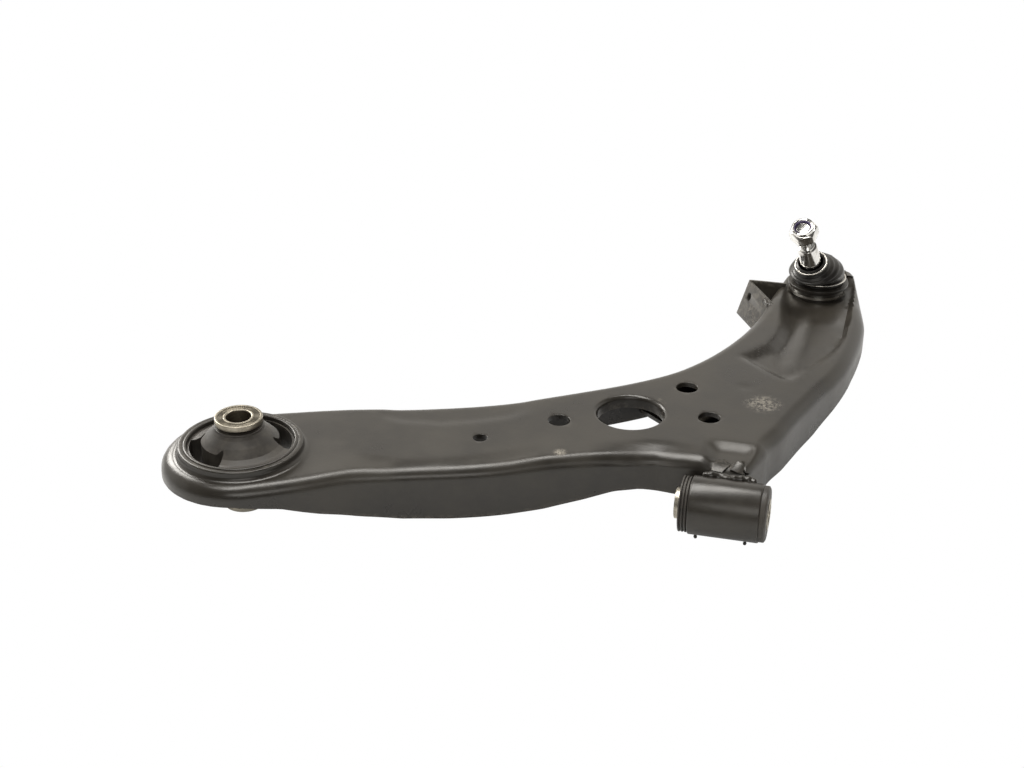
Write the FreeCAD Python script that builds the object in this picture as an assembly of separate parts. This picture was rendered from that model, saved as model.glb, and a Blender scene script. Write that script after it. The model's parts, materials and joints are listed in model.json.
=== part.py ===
import FreeCAD, Part
import math
import os

# Lower suspension control arm, stamped from one sheet, with two rubber bushes
# and a ball joint.  Millimetres, +Z up.  The origin is the centre of the front
# bush.  +X runs along the front bush, away from the rear bush.  +Z runs along
# the rear bush.  +Y points to the ball joint.

V = FreeCAD.Vector
X_AXIS = V(1, 0, 0)
Z_AXIS = V(0, 0, 1)

# ---- driving dimensions of the arm ----
LENGTH = 276.0             # front bush to rear bush, along X
REACH = 281.0              # front bush to ball joint, along Y
REAR_Y = -36.0             # rear bush, across from the front bush axis
BALL_X = 23.0              # ball joint, along the front bush axis
TOP = 19.0                 # top plane above the front bush axis
SHEET = 3.0                # pressed sheet
ROLL = 8.0                 # outside radius between top and skirt
SKIRT_BLANK = 45.0         # depth of the skirt before its lower edge is trimmed
REAR_END_RADIUS = 46.0     # rounded rear end, about the rear bush
REAR_DEPTH = 11.0          # skirt depth at the rear end
MIDDLE_DEPTH = 32.6        # deepest skirt, half way along the near side
WAIST_DEPTH = 22.7         # skirt depth just before the front bush
FAR_DEPTH = 28.0           # skirt depth along the far side
CORNER_DEPTH = 25.0        # skirt depth beside the front bush
HEAD_DEPTH = 18.5          # skirt depth around the ball joint
HEAD_LEFT_REACH = 31.0     # ball joint to the head's left side
HEAD_RIGHT_REACH = 33.0    # ball joint to the head's right side
HEAD_END = 65.0            # ball joint to the far end of the head
CORNER = ROLL + 0.6        # rounding of outward corners, more than the roll
INNER_CORNER = 2.5         # rounding of the corner beside the tongue
TONGUE_LEFT = 17.0         # tongue over the front bush, either side of its middle
TONGUE_RIGHT = 16.0
SADDLE_DROP = 2.7          # step down where the tongue meets the bush tube
RECESS_DEPTH = 4.0         # channel behind the ball joint
LIGHTENING_RADIUS = 20.0
LIGHTENING_LIP = 8.0       # depth of the drawn lip, from the top plane
LIP_ROLL = 2.5
TOOLING_RADIUS = 6.6
GAUGE_RADIUS = 4.2
COLLAR_HEIGHT = 5.5        # drawn collar around the rear bush, above the top plane
COLLAR_FOOT = 2.5          # fillet at the foot of the collar

# ---- lower reinforcement ----
PLATE_SHEET = 2.5
PLATE_DROP = 25.0          # below the top plane, at the front bush end
PLATE_RISE = 7.0           # how much higher its ball joint end is

# ---- rear bush ----
REAR_CAN_RADIUS = 33.0
REAR_CAN_WALL = 2.0
REAR_CAN_BELOW = 17.0      # can below the top plane
REAR_CAN_ABOVE = 6.0       # can above the top plane
REAR_BORE_RADIUS = 7.2
REAR_SLEEVE_RADIUS = 10.8
REAR_FLANGE_RADIUS = 13.8
REAR_FLANGE_THICK = 3.2
REAR_SLEEVE_ABOVE = 21.9   # sleeve above the top plane
REAR_SLEEVE_LENGTH = 57.0
REAR_FOOT_RADIUS = 12.2
REAR_FOOT_THICK = 2.5
VOID_INNER_RADIUS = 22.5
VOID_SKIN = 1.6            # rubber left on the can outside a void
VOID_HALF_ANGLE = 38.0
VOID_ANGLES = (41.5, 226.5)

# ---- front bush ----
TUBE_RADIUS = 16.75
TUBE_WALL = 3.0
TUBE_LENGTH = 40.0
PEG_RADIUS = 1.1           # pegs under the tube
PEG_PROUD = 1.9
PEG_Y = -5.0
PEG_PLACES = (-16.0, 12.5)
OUTER_SLEEVE_WALL = 1.2
FRONT_SLEEVE_RADIUS = 9.0
FRONT_BORE_RADIUS = 6.15
LEFT_FLANGE = 5.5          # rubber outside the tube
RIGHT_FLANGE = 3.8
LEFT_PROUD = 3.0           # sleeve beyond the rubber
RIGHT_PROUD = 0.6
FLANGE_RADIUS = 16.0
RIB_DEPTH = 0.9
WELD_RADIUS = 2.4

# ---- ball joint ----
BALL_RADIUS = 12.0
BALL_DROP = 6.0            # ball centre below the top plane
STUD_TILT = 29.0           # stud leans this far from the housing axis at rest
STUD_HEADING = 249.0       # direction of the lean, about +Z from +X
SWING_LIMIT = 31.0         # stud's greatest lean from the housing axis
HOUSING_RADIUS = 18.0
HOUSING_FLANGE_RADIUS = 20.6
HOUSING_FLANGE = 2.2
COLLAR_RADIUS = 15.6       # neck that holds the boot
COLLAR_TOP = 6.6           # above the top plane
MOUTH_ROOM = 0.2           # between the stud's neck and the housing's mouth
SEAT_WALL = 2.4
SEAT_LIP = 7.0             # seat reaches this far above the ball centre
SEAT_BELOW = 10.0
PRELOAD_THICK = 2.5
COVER_THICK = 2.5
HOUSING_LIP = 1.8
SNAP_THICK = 1.8
SNAP_GROOVE = 1.0
SNAP_PROUD = 2.6
NECK_RADIUS = 4.9
NECK_END = 17.5            # along the stud, from the ball centre
SHANK_BASE_RADIUS = 7.25
SHANK_START = 20.0
SHANK_TIP_RADIUS = 6.35
SHANK_END = 47.0
THREAD_RADIUS = 5.0
STUD_LENGTH = 66.4         # ball centre to the stud's end
STUD_CHAMFER = 0.8
NUT_BASE = 58.0            # along the stud, from the ball centre
NUT_HEX = 7.6
NUT_LENGTH = 10.0
NUT_FLATS = 17.0
NUT_TURN = 15.0            # hexagon's turn on the stud at rest
NUT_COLLAR_RADIUS = 7.7
NUT_EYE_RADIUS = 5.7
INSERT_RADIUS = 6.6
INSERT_THICK = 2.4
NUT_EYE_WALL = 0.6

# ---- dust boot ----
BOOT_WALL = 1.5
BOOT_FOOT_RADIUS = 18.0
BOOT_BELLY_RADIUS = 19.0
BOOT_NECK_RADIUS = 9.4
BOOT_FLARE = 1.5           # how much the neck widens below its lip
BOOT_TOP = 31.0            # along the stud, from the ball centre
RING_WIRE = 0.8
LOWER_RING_HEIGHT = 5.4    # above the top plane

# ---- bracket ----
BRACKET_SHEET = 2.0
BRACKET_HEIGHT = 25.0
BRACKET_OUT = 20.0         # bend line beyond the head's side
BRACKET_BACK = 6.0         # bend line this far short of the ball joint, along Y
BRACKET_RUN = 43.0         # front leaf's length along Y
BRACKET_LEAN = 7.0         # its lower edge stands this much further out
BRACKET_HOLE_RADIUS = 2.9
BRACKET_HOLE_IN = 10.0     # hole from the bend
BRACKET_HOLE_DOWN = 9.0    # hole from the top edge

# ---- clearances ----
FIT = 0.05                 # shafts and balls that turn in their seats
APART = 0.35               # soft pieces from what they move against
FLANGE_ROOM = 1.2          # pressing around the front bush's rubber flanges

BOTTOM = TOP - SKIRT_BLANK
REAR = V(-LENGTH, REAR_Y, 0)
JOINT = V(BALL_X, REACH, 0)
HEAD_LEFT = BALL_X - HEAD_LEFT_REACH
HEAD_RIGHT = BALL_X + HEAD_RIGHT_REACH
BALL_Z = TOP - BALL_DROP
BALL = V(BALL_X, REACH, BALL_Z)


def turned(radius, angle):
    """Point at a radius and an angle in degrees."""
    turn = math.radians(angle)
    return V(radius * math.cos(turn), radius * math.sin(turn), 0)


def stud_direction():
    lean = math.radians(STUD_TILT)
    flat = turned(math.sin(lean), STUD_HEADING)
    return V(flat.x, flat.y, math.cos(lean))


STUD = stud_direction()


def cylinder(radius, length, base, axis=Z_AXIS):
    return Part.makeCylinder(radius, length, base, axis)


def biggest(shape):
    return max(shape.Solids, key=lambda solid: solid.Volume)


def ring(outer, inner, length, base, axis=Z_AXIS):
    return cylinder(outer, length, base, axis).cut(cylinder(inner, length, base, axis))


def revolve(profile, centre, axis=Z_AXIS):
    """Turn a closed list of (radius, height) about an axis through centre."""
    points = [V(radius, 0, height) for radius, height in profile]
    face = Part.Face(Part.makePolygon(points + points[:1]))
    solid = face.revolve(V(0, 0, 0), Z_AXIS, 360)
    solid.Placement = FreeCAD.Placement(centre, FreeCAD.Rotation(Z_AXIS, axis))
    return solid


def spline(points, start, end):
    """Curve through points that leaves and arrives along two directions."""
    curve = Part.BSplineCurve()
    curve.interpolate(
        Points=points, InitialTangent=start.normalize(), FinalTangent=end.normalize()
    )
    return curve.toShape()


def prism(points, low, high):
    corners = [V(p[0], p[1], low) for p in points]
    face = Part.Face(Part.makePolygon(corners + corners[:1]))
    return face.extrude(V(0, 0, high - low))


# ---------------------------------------------------------------- arm outline

def rear_arc(angle):
    return REAR + turned(REAR_END_RADIUS, angle)


def rounded(corners, radii):
    """Lines between corners, with every corner but the two ends rounded."""
    edges = []
    last = corners[0]
    for before, corner, after, radius in zip(corners, corners[1:], corners[2:], radii):
        inward = (before - corner).normalize()
        outward = (after - corner).normalize()
        half = inward.getAngle(outward) / 2
        back = radius / math.tan(half)
        start = corner + inward * back
        end = corner + outward * back
        middle = (inward + outward).normalize()
        centre = corner + middle * (radius / math.sin(half))
        edges.append(Part.LineSegment(last, start).toShape())
        edges.append(Part.Arc(start, centre - middle * radius, end).toShape())
        last = end
    edges.append(Part.LineSegment(last, corners[-1]).toShape())
    return edges


def arm_outline():
    """Outer face of the skirt, seen from above, anticlockwise."""
    near_start = rear_arc(-62)
    near_rise = turned(1, 28)
    near_corner = V(-TONGUE_LEFT, TUBE_RADIUS + 3, 0)
    tongue_y = near_corner.y - CORNER - INNER_CORNER - 1
    near = [
        near_start,
        V(-0.839 * LENGTH, near_start.y + 12.8, 0),
        V(-0.739 * LENGTH, near_start.y + 30.3, 0),
        V(-0.650 * LENGTH, near_start.y + 39.9, 0),
        V(-0.495 * LENGTH, near_start.y + 54.8, 0),
        V(-0.345 * LENGTH, near_start.y + 74.8, 0),
        V(-0.225 * LENGTH, TUBE_RADIUS - 5, 0),
        V(-0.139 * LENGTH, TUBE_RADIUS + 2, 0),
    ]
    tongue = [
        near[-1],
        near_corner,
        V(-TONGUE_LEFT, tongue_y, 0),
        V(TONGUE_RIGHT, tongue_y, 0),
        V(TONGUE_RIGHT + 0.8, 0.15 * REACH, 0),
    ]
    side_rise = 0.17 * REACH
    right = [
        tongue[-1],
        V(BALL_X + 1.5, 0.24 * REACH, 0),
        V(BALL_X + 9, 0.335 * REACH, 0),
        V(BALL_X + 18, 0.435 * REACH, 0),
        V(BALL_X + 26, 0.516 * REACH, 0),
        V(BALL_X + 32, 0.60 * REACH, 0),
        V(HEAD_RIGHT + 3, 0.73 * REACH, 0),
        V(HEAD_RIGHT + 3, REACH - side_rise, 0),
    ]
    head = [
        right[-1],
        V(HEAD_RIGHT - 2, REACH + HEAD_END - 35, 0),
        V(BALL_X + 6, REACH + HEAD_END, 0),
        V(BALL_X - 9, REACH + HEAD_END - 1, 0),
        V(HEAD_LEFT, REACH + HEAD_END - 46, 0),
        V(HEAD_LEFT, REACH - 30, 0),
    ]
    far_end = rear_arc(112)
    rise = head[-1].y - far_end.y
    far = [
        head[-1],
        V(HEAD_LEFT - 6, far_end.y + 0.825 * rise, 0),
        V(-0.104 * LENGTH, far_end.y + 0.652 * rise, 0),
        V(-0.176 * LENGTH, far_end.y + 0.513 * rise, 0),
        V(-0.252 * LENGTH, far_end.y + 0.427 * rise, 0),
        V(-0.371 * LENGTH, far_end.y + 0.33 * rise, 0),
        V(-0.528 * LENGTH, far_end.y + 0.221 * rise, 0),
        V(-0.688 * LENGTH, far_end.y + 0.148 * rise, 0),
        V(-0.857 * LENGTH, far_end.y + 0.092 * rise, 0),
        far_end,
    ]
    edges = [Part.Arc(far_end, rear_arc(205), near_start).toShape()]
    edges.append(spline(near, near_rise, near_corner - near[-1]))
    edges += rounded(tongue, [INNER_CORNER, CORNER, CORNER])
    edges.append(spline(right, tongue[-1] - tongue[-2], head[1] - head[0]))
    edges += rounded(head, [CORNER] * (len(head) - 2))
    edges.append(spline(far, head[-1] - head[-2], turned(1, 202)))
    return Part.Wire(Part.__sortEdges__(edges))


def pressed_block(wire, top, roll):
    """Solid under a rolled top edge, reaching below every skirt."""
    base = wire.copy()
    base.translate(V(0, 0, BOTTOM))
    block = Part.Face(base).extrude(V(0, 0, top - BOTTOM))
    rim = [e for e in block.Edges if min(v.Z for v in e.Vertexes) > top - 0.001]
    return biggest(block.makeFillet(roll, rim))


def trim_below(points, low_side, high_side):
    """Cutter under a line of (x, depth) points, extruded along Y.

    The line is straight to the second point and from the last but one, and a
    smooth curve in between.
    """
    floor = BOTTOM - 10
    line = [V(x, low_side, TOP - depth) for x, depth in points]
    right = V(line[-1].x, low_side, floor)
    left = V(line[0].x, low_side, floor)
    walls = [
        Part.LineSegment(line[0], line[1]).toShape(),
        spline(line[1:-1], line[1] - line[0], line[-1] - line[-2]),
        Part.LineSegment(line[-2], line[-1]).toShape(),
        Part.LineSegment(line[-1], right).toShape(),
        Part.LineSegment(right, left).toShape(),
        Part.LineSegment(left, line[0]).toShape(),
    ]
    return Part.Face(Part.Wire(walls)).extrude(V(0, high_side - low_side, 0))


def skirt_trims():
    """Cutters that leave each side of the skirt its own depth."""
    left = -LENGTH - REAR_END_RADIUS - 10
    side = HEAD_RIGHT + 20
    low_side = REAR_Y - REAR_END_RADIUS - 20
    split = TUBE_RADIUS + 23
    far_limit = REACH + HEAD_END + 30
    near_zone = prism(
        [
            V(left, low_side, 0),
            V(left, REAR_Y, 0),
            V(-0.25 * LENGTH, split, 0),
            V(side, split, 0),
            V(side, low_side, 0),
        ],
        BOTTOM - 10,
        TOP,
    )
    near_line = [
        (left, REAR_DEPTH),
        (-0.93 * LENGTH, REAR_DEPTH),
        (-0.80 * LENGTH, 0.70 * MIDDLE_DEPTH),
        (-0.70 * LENGTH, 0.91 * MIDDLE_DEPTH),
        (-0.56 * LENGTH, MIDDLE_DEPTH),
        (-0.38 * LENGTH, 0.98 * MIDDLE_DEPTH),
        (-0.30 * LENGTH, 0.5 * (MIDDLE_DEPTH + WAIST_DEPTH)),
        (-0.21 * LENGTH, WAIST_DEPTH),
        (-TONGUE_LEFT - 21, CORNER_DEPTH),
        (side, CORNER_DEPTH),
    ]
    near = trim_below(near_line, low_side, split + 20).common(near_zone)
    far_line = [
        (left, REAR_DEPTH),
        (-0.93 * LENGTH, REAR_DEPTH),
        (-0.80 * LENGTH, 0.8 * FAR_DEPTH),
        (-0.70 * LENGTH, FAR_DEPTH),
        (side, FAR_DEPTH),
    ]
    far = trim_below(far_line, low_side, far_limit).cut(near_zone)
    slope = [
        V(left, 0.40 * REACH, TOP - FAR_DEPTH),
        V(left, 0.62 * REACH, TOP - HEAD_DEPTH),
        V(left, far_limit, TOP - HEAD_DEPTH),
        V(left, far_limit, BOTTOM - 10),
        V(left, 0.40 * REACH, BOTTOM - 10),
    ]
    head = Part.Face(Part.makePolygon(slope + slope[:1])).extrude(V(side - left, 0, 0))
    return [near, far, head]


# ------------------------------------------------------------------ pressing

def recess_outline(grow):
    """Channel in the top plane behind the ball joint."""
    return [
        V(BALL_X - 17 - grow, REACH - 48 + grow, 0),
        V(BALL_X - 15 - grow, REACH - 92, 0),
        V(BALL_X - 30 - grow, REACH - 118, 0),
        V(BALL_X - 12, REACH - 140 - grow, 0),
        V(BALL_X + 1 + grow, REACH - 143 - grow, 0),
        V(BALL_X + 13 + grow, REACH - 121, 0),
        V(BALL_X + 21 + grow, REACH - 95, 0),
        V(BALL_X + 24 + grow, REACH - 48 + grow, 0),
    ]


def hollows(grow):
    """Pockets pressed into the top: the channel and the saddle by the bush."""
    recess = prism(recess_outline(grow), TOP - RECESS_DEPTH - grow, TOP + 1)
    saddle = prism(
        [
            V(-TONGUE_LEFT + 2 - grow, -TUBE_RADIUS, 0),
            V(TONGUE_RIGHT - 7 + grow, -TUBE_RADIUS, 0),
            V(TONGUE_RIGHT - 7 + grow, TUBE_RADIUS + 25 + grow, 0),
            V(-TONGUE_LEFT + 2 - grow, TUBE_RADIUS + 25 + grow, 0),
        ],
        TOP - SADDLE_DROP - grow,
        TOP + 1,
    )
    return [recess, saddle]


def tooling_centres():
    return [
        V(-0.387 * LENGTH, 0.155 * REACH, 0),
        V(-0.145 * LENGTH, 0.369 * REACH, 0),
        V(-0.076 * LENGTH, 0.246 * REACH, 0),
    ]


def lightening_centre():
    return V(-0.245 * LENGTH, 0.228 * REACH, 0)


def cavity():
    """Space inside the pressing, under its sheet."""
    inner = Part.Face(arm_outline()).makeOffset2D(-SHEET)
    edges = inner.OuterWire.toNurbs().Edges
    wire = Part.Wire(Part.__sortEdges__(edges))
    block = pressed_block(wire, TOP - SHEET, ROLL - SHEET)
    return block.cut(hollows(SHEET))


def outer_block():
    return pressed_block(arm_outline(), TOP, ROLL)


def bush_cutters():
    """Room in the pressing for the front bush tube and its rubber flanges."""
    half = TUBE_LENGTH / 2
    tube = cylinder(TUBE_RADIUS, TUBE_LENGTH, V(-half, 0, 0), X_AXIS)
    room = FLANGE_RADIUS + FLANGE_ROOM
    left = LEFT_FLANGE + LEFT_PROUD + FLANGE_ROOM
    right = RIGHT_FLANGE + RIGHT_PROUD + FLANGE_ROOM
    return [
        tube,
        cylinder(room, left, V(-half - left, 0, 0), X_AXIS),
        cylinder(room, right, V(half, 0, 0), X_AXIS),
    ]


def arm_pressing(outer, inside):
    shell = outer.cut(hollows(0)).cut(inside)
    centre = lightening_centre()
    lip_base = centre + V(0, 0, TOP - LIGHTENING_LIP)
    lip = cylinder(LIGHTENING_RADIUS + SHEET, LIGHTENING_LIP, lip_base)
    collar_base = REAR + V(0, 0, TOP - SHEET)
    collar = cylinder(REAR_CAN_RADIUS + SHEET, SHEET + COLLAR_HEIGHT, collar_base)
    shell = shell.fuse([lip, collar]).removeSplitter()
    foot = [
        e
        for e in shell.Edges
        if hasattr(e.Curve, "Radius")
        and abs(e.Curve.Radius - REAR_CAN_RADIUS - SHEET) < 0.01
        and abs(e.BoundBox.ZMin - TOP) < 0.01
        and abs(e.BoundBox.ZMax - TOP) < 0.01
    ]
    shell = shell.makeFillet(COLLAR_FOOT, foot)
    below = V(0, 0, BOTTOM)
    through = TOP - BOTTOM + COLLAR_HEIGHT + 1
    cutters = [
        cylinder(LIGHTENING_RADIUS, through, centre + below),
        cylinder(REAR_CAN_RADIUS, through, REAR + below),
        cylinder(HOUSING_RADIUS, through, JOINT + below),
        cylinder(GAUGE_RADIUS, through, V(-0.531 * LENGTH, 0.041 * REACH, 0) + below),
    ]
    cutters += [cylinder(TOOLING_RADIUS, through, c + below) for c in tooling_centres()]
    shell = shell.cut(cutters).cut(bush_cutters()).cut(skirt_trims())
    mouth = [
        e
        for e in shell.Edges
        if hasattr(e.Curve, "Radius")
        and abs(e.Curve.Radius - LIGHTENING_RADIUS) < 0.01
        and e.BoundBox.ZMin > TOP - 0.01
    ]
    return biggest(shell.makeFillet(LIP_ROLL, mouth))


def lower_reinforcement(inside):
    """Closing plate welded between the skirts, behind the front bush."""
    near = 0.21 * REACH
    far = REACH - HOUSING_RADIUS - 12
    low = TOP - PLATE_DROP
    left = -0.3 * LENGTH
    right = HEAD_RIGHT + 5
    profile = [
        V(left, near, low),
        V(left, far, low + PLATE_RISE),
        V(left, far, low + PLATE_RISE + PLATE_SHEET),
        V(left, near, low + PLATE_SHEET),
    ]
    slab = Part.Face(Part.makePolygon(profile + profile[:1])).extrude(V(right - left, 0, 0))
    edge = prism(
        [
            V(-0.02 * LENGTH, near - 1, 0),
            V(right, near - 1, 0),
            V(right, far + 1, 0),
            V(left, far + 1, 0),
            V(left, 0.46 * REACH, 0),
            V(-0.255 * LENGTH, 0.385 * REACH, 0),
        ],
        BOTTOM,
        TOP,
    )
    return biggest(slab.common(edge).common(inside))


# ----------------------------------------------------------------- rear bush

def rear_bush_can():
    base = REAR + V(0, 0, TOP - REAR_CAN_BELOW)
    length = REAR_CAN_BELOW + REAR_CAN_ABOVE
    inner = REAR_CAN_RADIUS - REAR_CAN_WALL
    return ring(REAR_CAN_RADIUS, inner, length, base)


def rear_inner_sleeve():
    top = TOP + REAR_SLEEVE_ABOVE
    low = top - REAR_SLEEVE_LENGTH
    bore = REAR_BORE_RADIUS
    chamfer = 0.8
    profile = [
        (bore, low + chamfer),
        (bore + chamfer, low),
        (REAR_FOOT_RADIUS - chamfer, low),
        (REAR_FOOT_RADIUS, low + chamfer),
        (REAR_FOOT_RADIUS, low + REAR_FOOT_THICK),
        (REAR_SLEEVE_RADIUS, low + REAR_FOOT_THICK + 1),
        (REAR_SLEEVE_RADIUS, top - REAR_FLANGE_THICK - 1),
        (REAR_FLANGE_RADIUS, top - REAR_FLANGE_THICK),
        (REAR_FLANGE_RADIUS, top - chamfer),
        (REAR_FLANGE_RADIUS - chamfer, top),
        (bore + 2 * chamfer, top),
        (bore, top - 2 * chamfer),
    ]
    return revolve(profile, REAR)


def rear_bush_rubber():
    """Bell-shaped rubber between sleeve and can, with two through voids."""
    top = TOP + REAR_SLEEVE_ABOVE
    low = top - REAR_SLEEVE_LENGTH
    inner = REAR_SLEEVE_RADIUS + FIT
    outer = REAR_CAN_RADIUS - REAR_CAN_WALL
    rim = TOP + REAR_CAN_ABOVE - 2
    base = TOP - REAR_CAN_BELOW + 1
    profile = [
        (inner, low + REAR_FOOT_THICK + 2),
        (REAR_FOOT_RADIUS, low + REAR_FOOT_THICK + 2),
        (inner + 0.35 * (outer - inner), base),
        (outer, base),
        (outer, rim),
        (inner + 0.72 * (outer - inner), rim + 0.5),
        (inner + 0.40 * (outer - inner), rim + 4.5),
        (inner + 0.16 * (outer - inner), top - REAR_FLANGE_THICK - 5),
        (inner + 1.8, top - REAR_FLANGE_THICK - 1.6),
        (inner, top - REAR_FLANGE_THICK - 1.6),
    ]
    body = revolve(profile, REAR)
    depth = top - low
    width = outer - VOID_SKIN - VOID_INNER_RADIUS
    middle = VOID_INNER_RADIUS + width / 2
    for angle in VOID_ANGLES:
        start = REAR + V(0, 0, low)
        slot = ring(outer - VOID_SKIN, VOID_INNER_RADIUS, depth, start)
        reach = 2 * outer
        wedge = prism(
            [
                REAR,
                REAR + turned(reach, angle - VOID_HALF_ANGLE),
                REAR + turned(reach, angle),
                REAR + turned(reach, angle + VOID_HALF_ANGLE),
            ],
            low,
            top,
        )
        body = body.cut(slot.common(wedge))
        for side in (-1, 1):
            end = start + turned(middle, angle + side * VOID_HALF_ANGLE)
            body = body.cut(cylinder(width / 2, depth, end))
    return body


# ---------------------------------------------------------------- front bush

def front_bush_tube():
    """Plain tube with two short pegs under it."""
    base = V(-TUBE_LENGTH / 2, 0, 0)
    wall = ring(TUBE_RADIUS, TUBE_RADIUS - TUBE_WALL, TUBE_LENGTH, base, X_AXIS)
    low = -TUBE_RADIUS - PEG_PROUD
    pegs = [
        cylinder(PEG_RADIUS, PEG_PROUD + TUBE_WALL / 2, V(x, PEG_Y, low))
        for x in PEG_PLACES
    ]
    return wall.fuse(pegs)


def front_bush_outer_sleeve():
    outer = TUBE_RADIUS - TUBE_WALL
    base = V(-TUBE_LENGTH / 2, 0, 0)
    return ring(outer, outer - OUTER_SLEEVE_WALL, TUBE_LENGTH, base, X_AXIS)


def front_bush_rubber():
    half = TUBE_LENGTH / 2
    bonded = TUBE_RADIUS - TUBE_WALL - OUTER_SLEEVE_WALL
    inner = FRONT_SLEEVE_RADIUS + FIT
    rib = LEFT_FLANGE / 6
    profile = [(inner, -half - LEFT_FLANGE)]
    for count in range(3):
        start = -half - LEFT_FLANGE + 2 * rib * count
        profile.append((FLANGE_RADIUS - RIB_DEPTH, start))
        profile.append((FLANGE_RADIUS, start + 0.3 * rib))
        profile.append((FLANGE_RADIUS, start + 1.2 * rib))
        profile.append((FLANGE_RADIUS - RIB_DEPTH, start + 1.5 * rib))
    profile += [
        (FLANGE_RADIUS - RIB_DEPTH, -half),
        (bonded, -half),
        (bonded, half),
        (FLANGE_RADIUS, half),
        (FLANGE_RADIUS, half + 0.7 * RIGHT_FLANGE),
        (FLANGE_RADIUS - RIGHT_FLANGE * 0.3, half + RIGHT_FLANGE),
        (inner, half + RIGHT_FLANGE),
    ]
    return revolve(profile, V(0, 0, 0), X_AXIS)


def front_inner_sleeve():
    left = -TUBE_LENGTH / 2 - LEFT_FLANGE - LEFT_PROUD
    right = TUBE_LENGTH / 2 + RIGHT_FLANGE + RIGHT_PROUD
    chamfer = 0.6
    profile = [
        (FRONT_BORE_RADIUS, left),
        (FRONT_SLEEVE_RADIUS - chamfer, left),
        (FRONT_SLEEVE_RADIUS, left + chamfer),
        (FRONT_SLEEVE_RADIUS, right - chamfer),
        (FRONT_SLEEVE_RADIUS - chamfer, right),
        (FRONT_BORE_RADIUS, right),
    ]
    return revolve(profile, V(0, 0, 0), X_AXIS)


def front_tube_weld(pressing, tube_solid):
    """Bead along the tongue's end, on the back of the tube."""
    rest = TUBE_RADIUS + 0.1 * WELD_RADIUS
    angle = math.radians(62)
    left = 3 - TONGUE_LEFT
    length = TONGUE_LEFT + TONGUE_RIGHT - 6
    base = V(left, rest * math.cos(angle), rest * math.sin(angle))
    bead = cylinder(WELD_RADIUS, length, base, X_AXIS)
    bore = cylinder(TUBE_RADIUS, TUBE_LENGTH, V(-TUBE_LENGTH / 2, 0, 0), X_AXIS)
    return biggest(bead.cut(bore).cut(pressing).cut(tube_solid))


# ---------------------------------------------------------------- ball joint

def ball_joint_housing():
    """Forged cup, open at the bottom, with a collar for the boot on top."""
    seat_outer = BALL_RADIUS + SEAT_WALL
    floor = -SEAT_BELOW - PRELOAD_THICK - COVER_THICK
    groove_top = BALL_DROP - SHEET
    mouth = SWING_LIMIT + 1.5
    lean = math.tan(math.radians(mouth))
    neck = NECK_RADIUS / math.cos(math.radians(mouth))
    collar = BALL_DROP + COLLAR_TOP
    groove = HOUSING_RADIUS - SNAP_GROOVE
    profile = [
        (seat_outer, floor),
        (seat_outer - 2, floor),
        (seat_outer - 2, floor - HOUSING_LIP),
        (HOUSING_RADIUS - 1, floor - HOUSING_LIP),
        (HOUSING_RADIUS, floor + 1),
        (HOUSING_RADIUS, groove_top - SNAP_THICK),
        (groove, groove_top - SNAP_THICK),
        (groove, groove_top),
        (HOUSING_RADIUS, groove_top),
        (HOUSING_RADIUS, BALL_DROP),
        (HOUSING_FLANGE_RADIUS, BALL_DROP),
        (HOUSING_FLANGE_RADIUS, BALL_DROP + HOUSING_FLANGE - 0.8),
        (HOUSING_FLANGE_RADIUS - 0.8, BALL_DROP + HOUSING_FLANGE),
        (COLLAR_RADIUS, BALL_DROP + HOUSING_FLANGE),
        (COLLAR_RADIUS, collar - 0.3),
        (COLLAR_RADIUS - 0.3, collar),
        (neck + lean * collar + MOUTH_ROOM, collar),
        (neck + lean * SEAT_LIP + MOUTH_ROOM, SEAT_LIP),
        (seat_outer, SEAT_LIP),
    ]
    return revolve(profile, BALL)


def ball_seat():
    """Polymer cup that wraps the ball to just above its middle."""
    outer = BALL_RADIUS + SEAT_WALL
    cup = cylinder(outer, SEAT_BELOW + SEAT_LIP, BALL - V(0, 0, SEAT_BELOW))
    return cup.cut(Part.makeSphere(BALL_RADIUS + FIT, BALL))


def seat_preload_ring():
    base = BALL - V(0, 0, SEAT_BELOW + PRELOAD_THICK)
    outer = BALL_RADIUS + SEAT_WALL
    return ring(outer, outer - 5, PRELOAD_THICK, base)


def ball_joint_cover():
    low = SEAT_BELOW + PRELOAD_THICK + COVER_THICK
    outer = BALL_RADIUS + SEAT_WALL
    disc = cylinder(outer, COVER_THICK, BALL - V(0, 0, low))
    dish = cylinder(0.55 * outer, 0.8, BALL - V(0, 0, low))
    return disc.cut(dish)


def housing_snap_ring():
    """Open spring ring in the housing's groove, under the pressing."""
    inner = HOUSING_RADIUS - SNAP_GROOVE
    base = JOINT + V(0, 0, TOP - SHEET - SNAP_THICK)
    whole = ring(inner + SNAP_PROUD, inner, SNAP_THICK, base)
    gap = Part.makeBox(HOUSING_RADIUS * 2, 8, SNAP_THICK, base + V(0, -4, 0))
    return whole.cut(gap)


def ball_stud():
    tip = STUD_LENGTH
    chamfer = STUD_CHAMFER
    shoulder = SHANK_END
    sunk = math.sqrt(BALL_RADIUS ** 2 - NECK_RADIUS ** 2) - 1
    profile = [
        (0, sunk),
        (NECK_RADIUS, sunk),
        (NECK_RADIUS, NECK_END),
        (SHANK_BASE_RADIUS, SHANK_START),
        (SHANK_BASE_RADIUS, BOOT_TOP + 1),
        (SHANK_TIP_RADIUS, shoulder),
        (THREAD_RADIUS, shoulder + 0.5),
        (THREAD_RADIUS, tip - chamfer),
        (THREAD_RADIUS - chamfer, tip),
        (0, tip),
    ]
    return revolve(profile, BALL, STUD).fuse(Part.makeSphere(BALL_RADIUS, BALL))


def along_stud(distance):
    return BALL + STUD * distance


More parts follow.
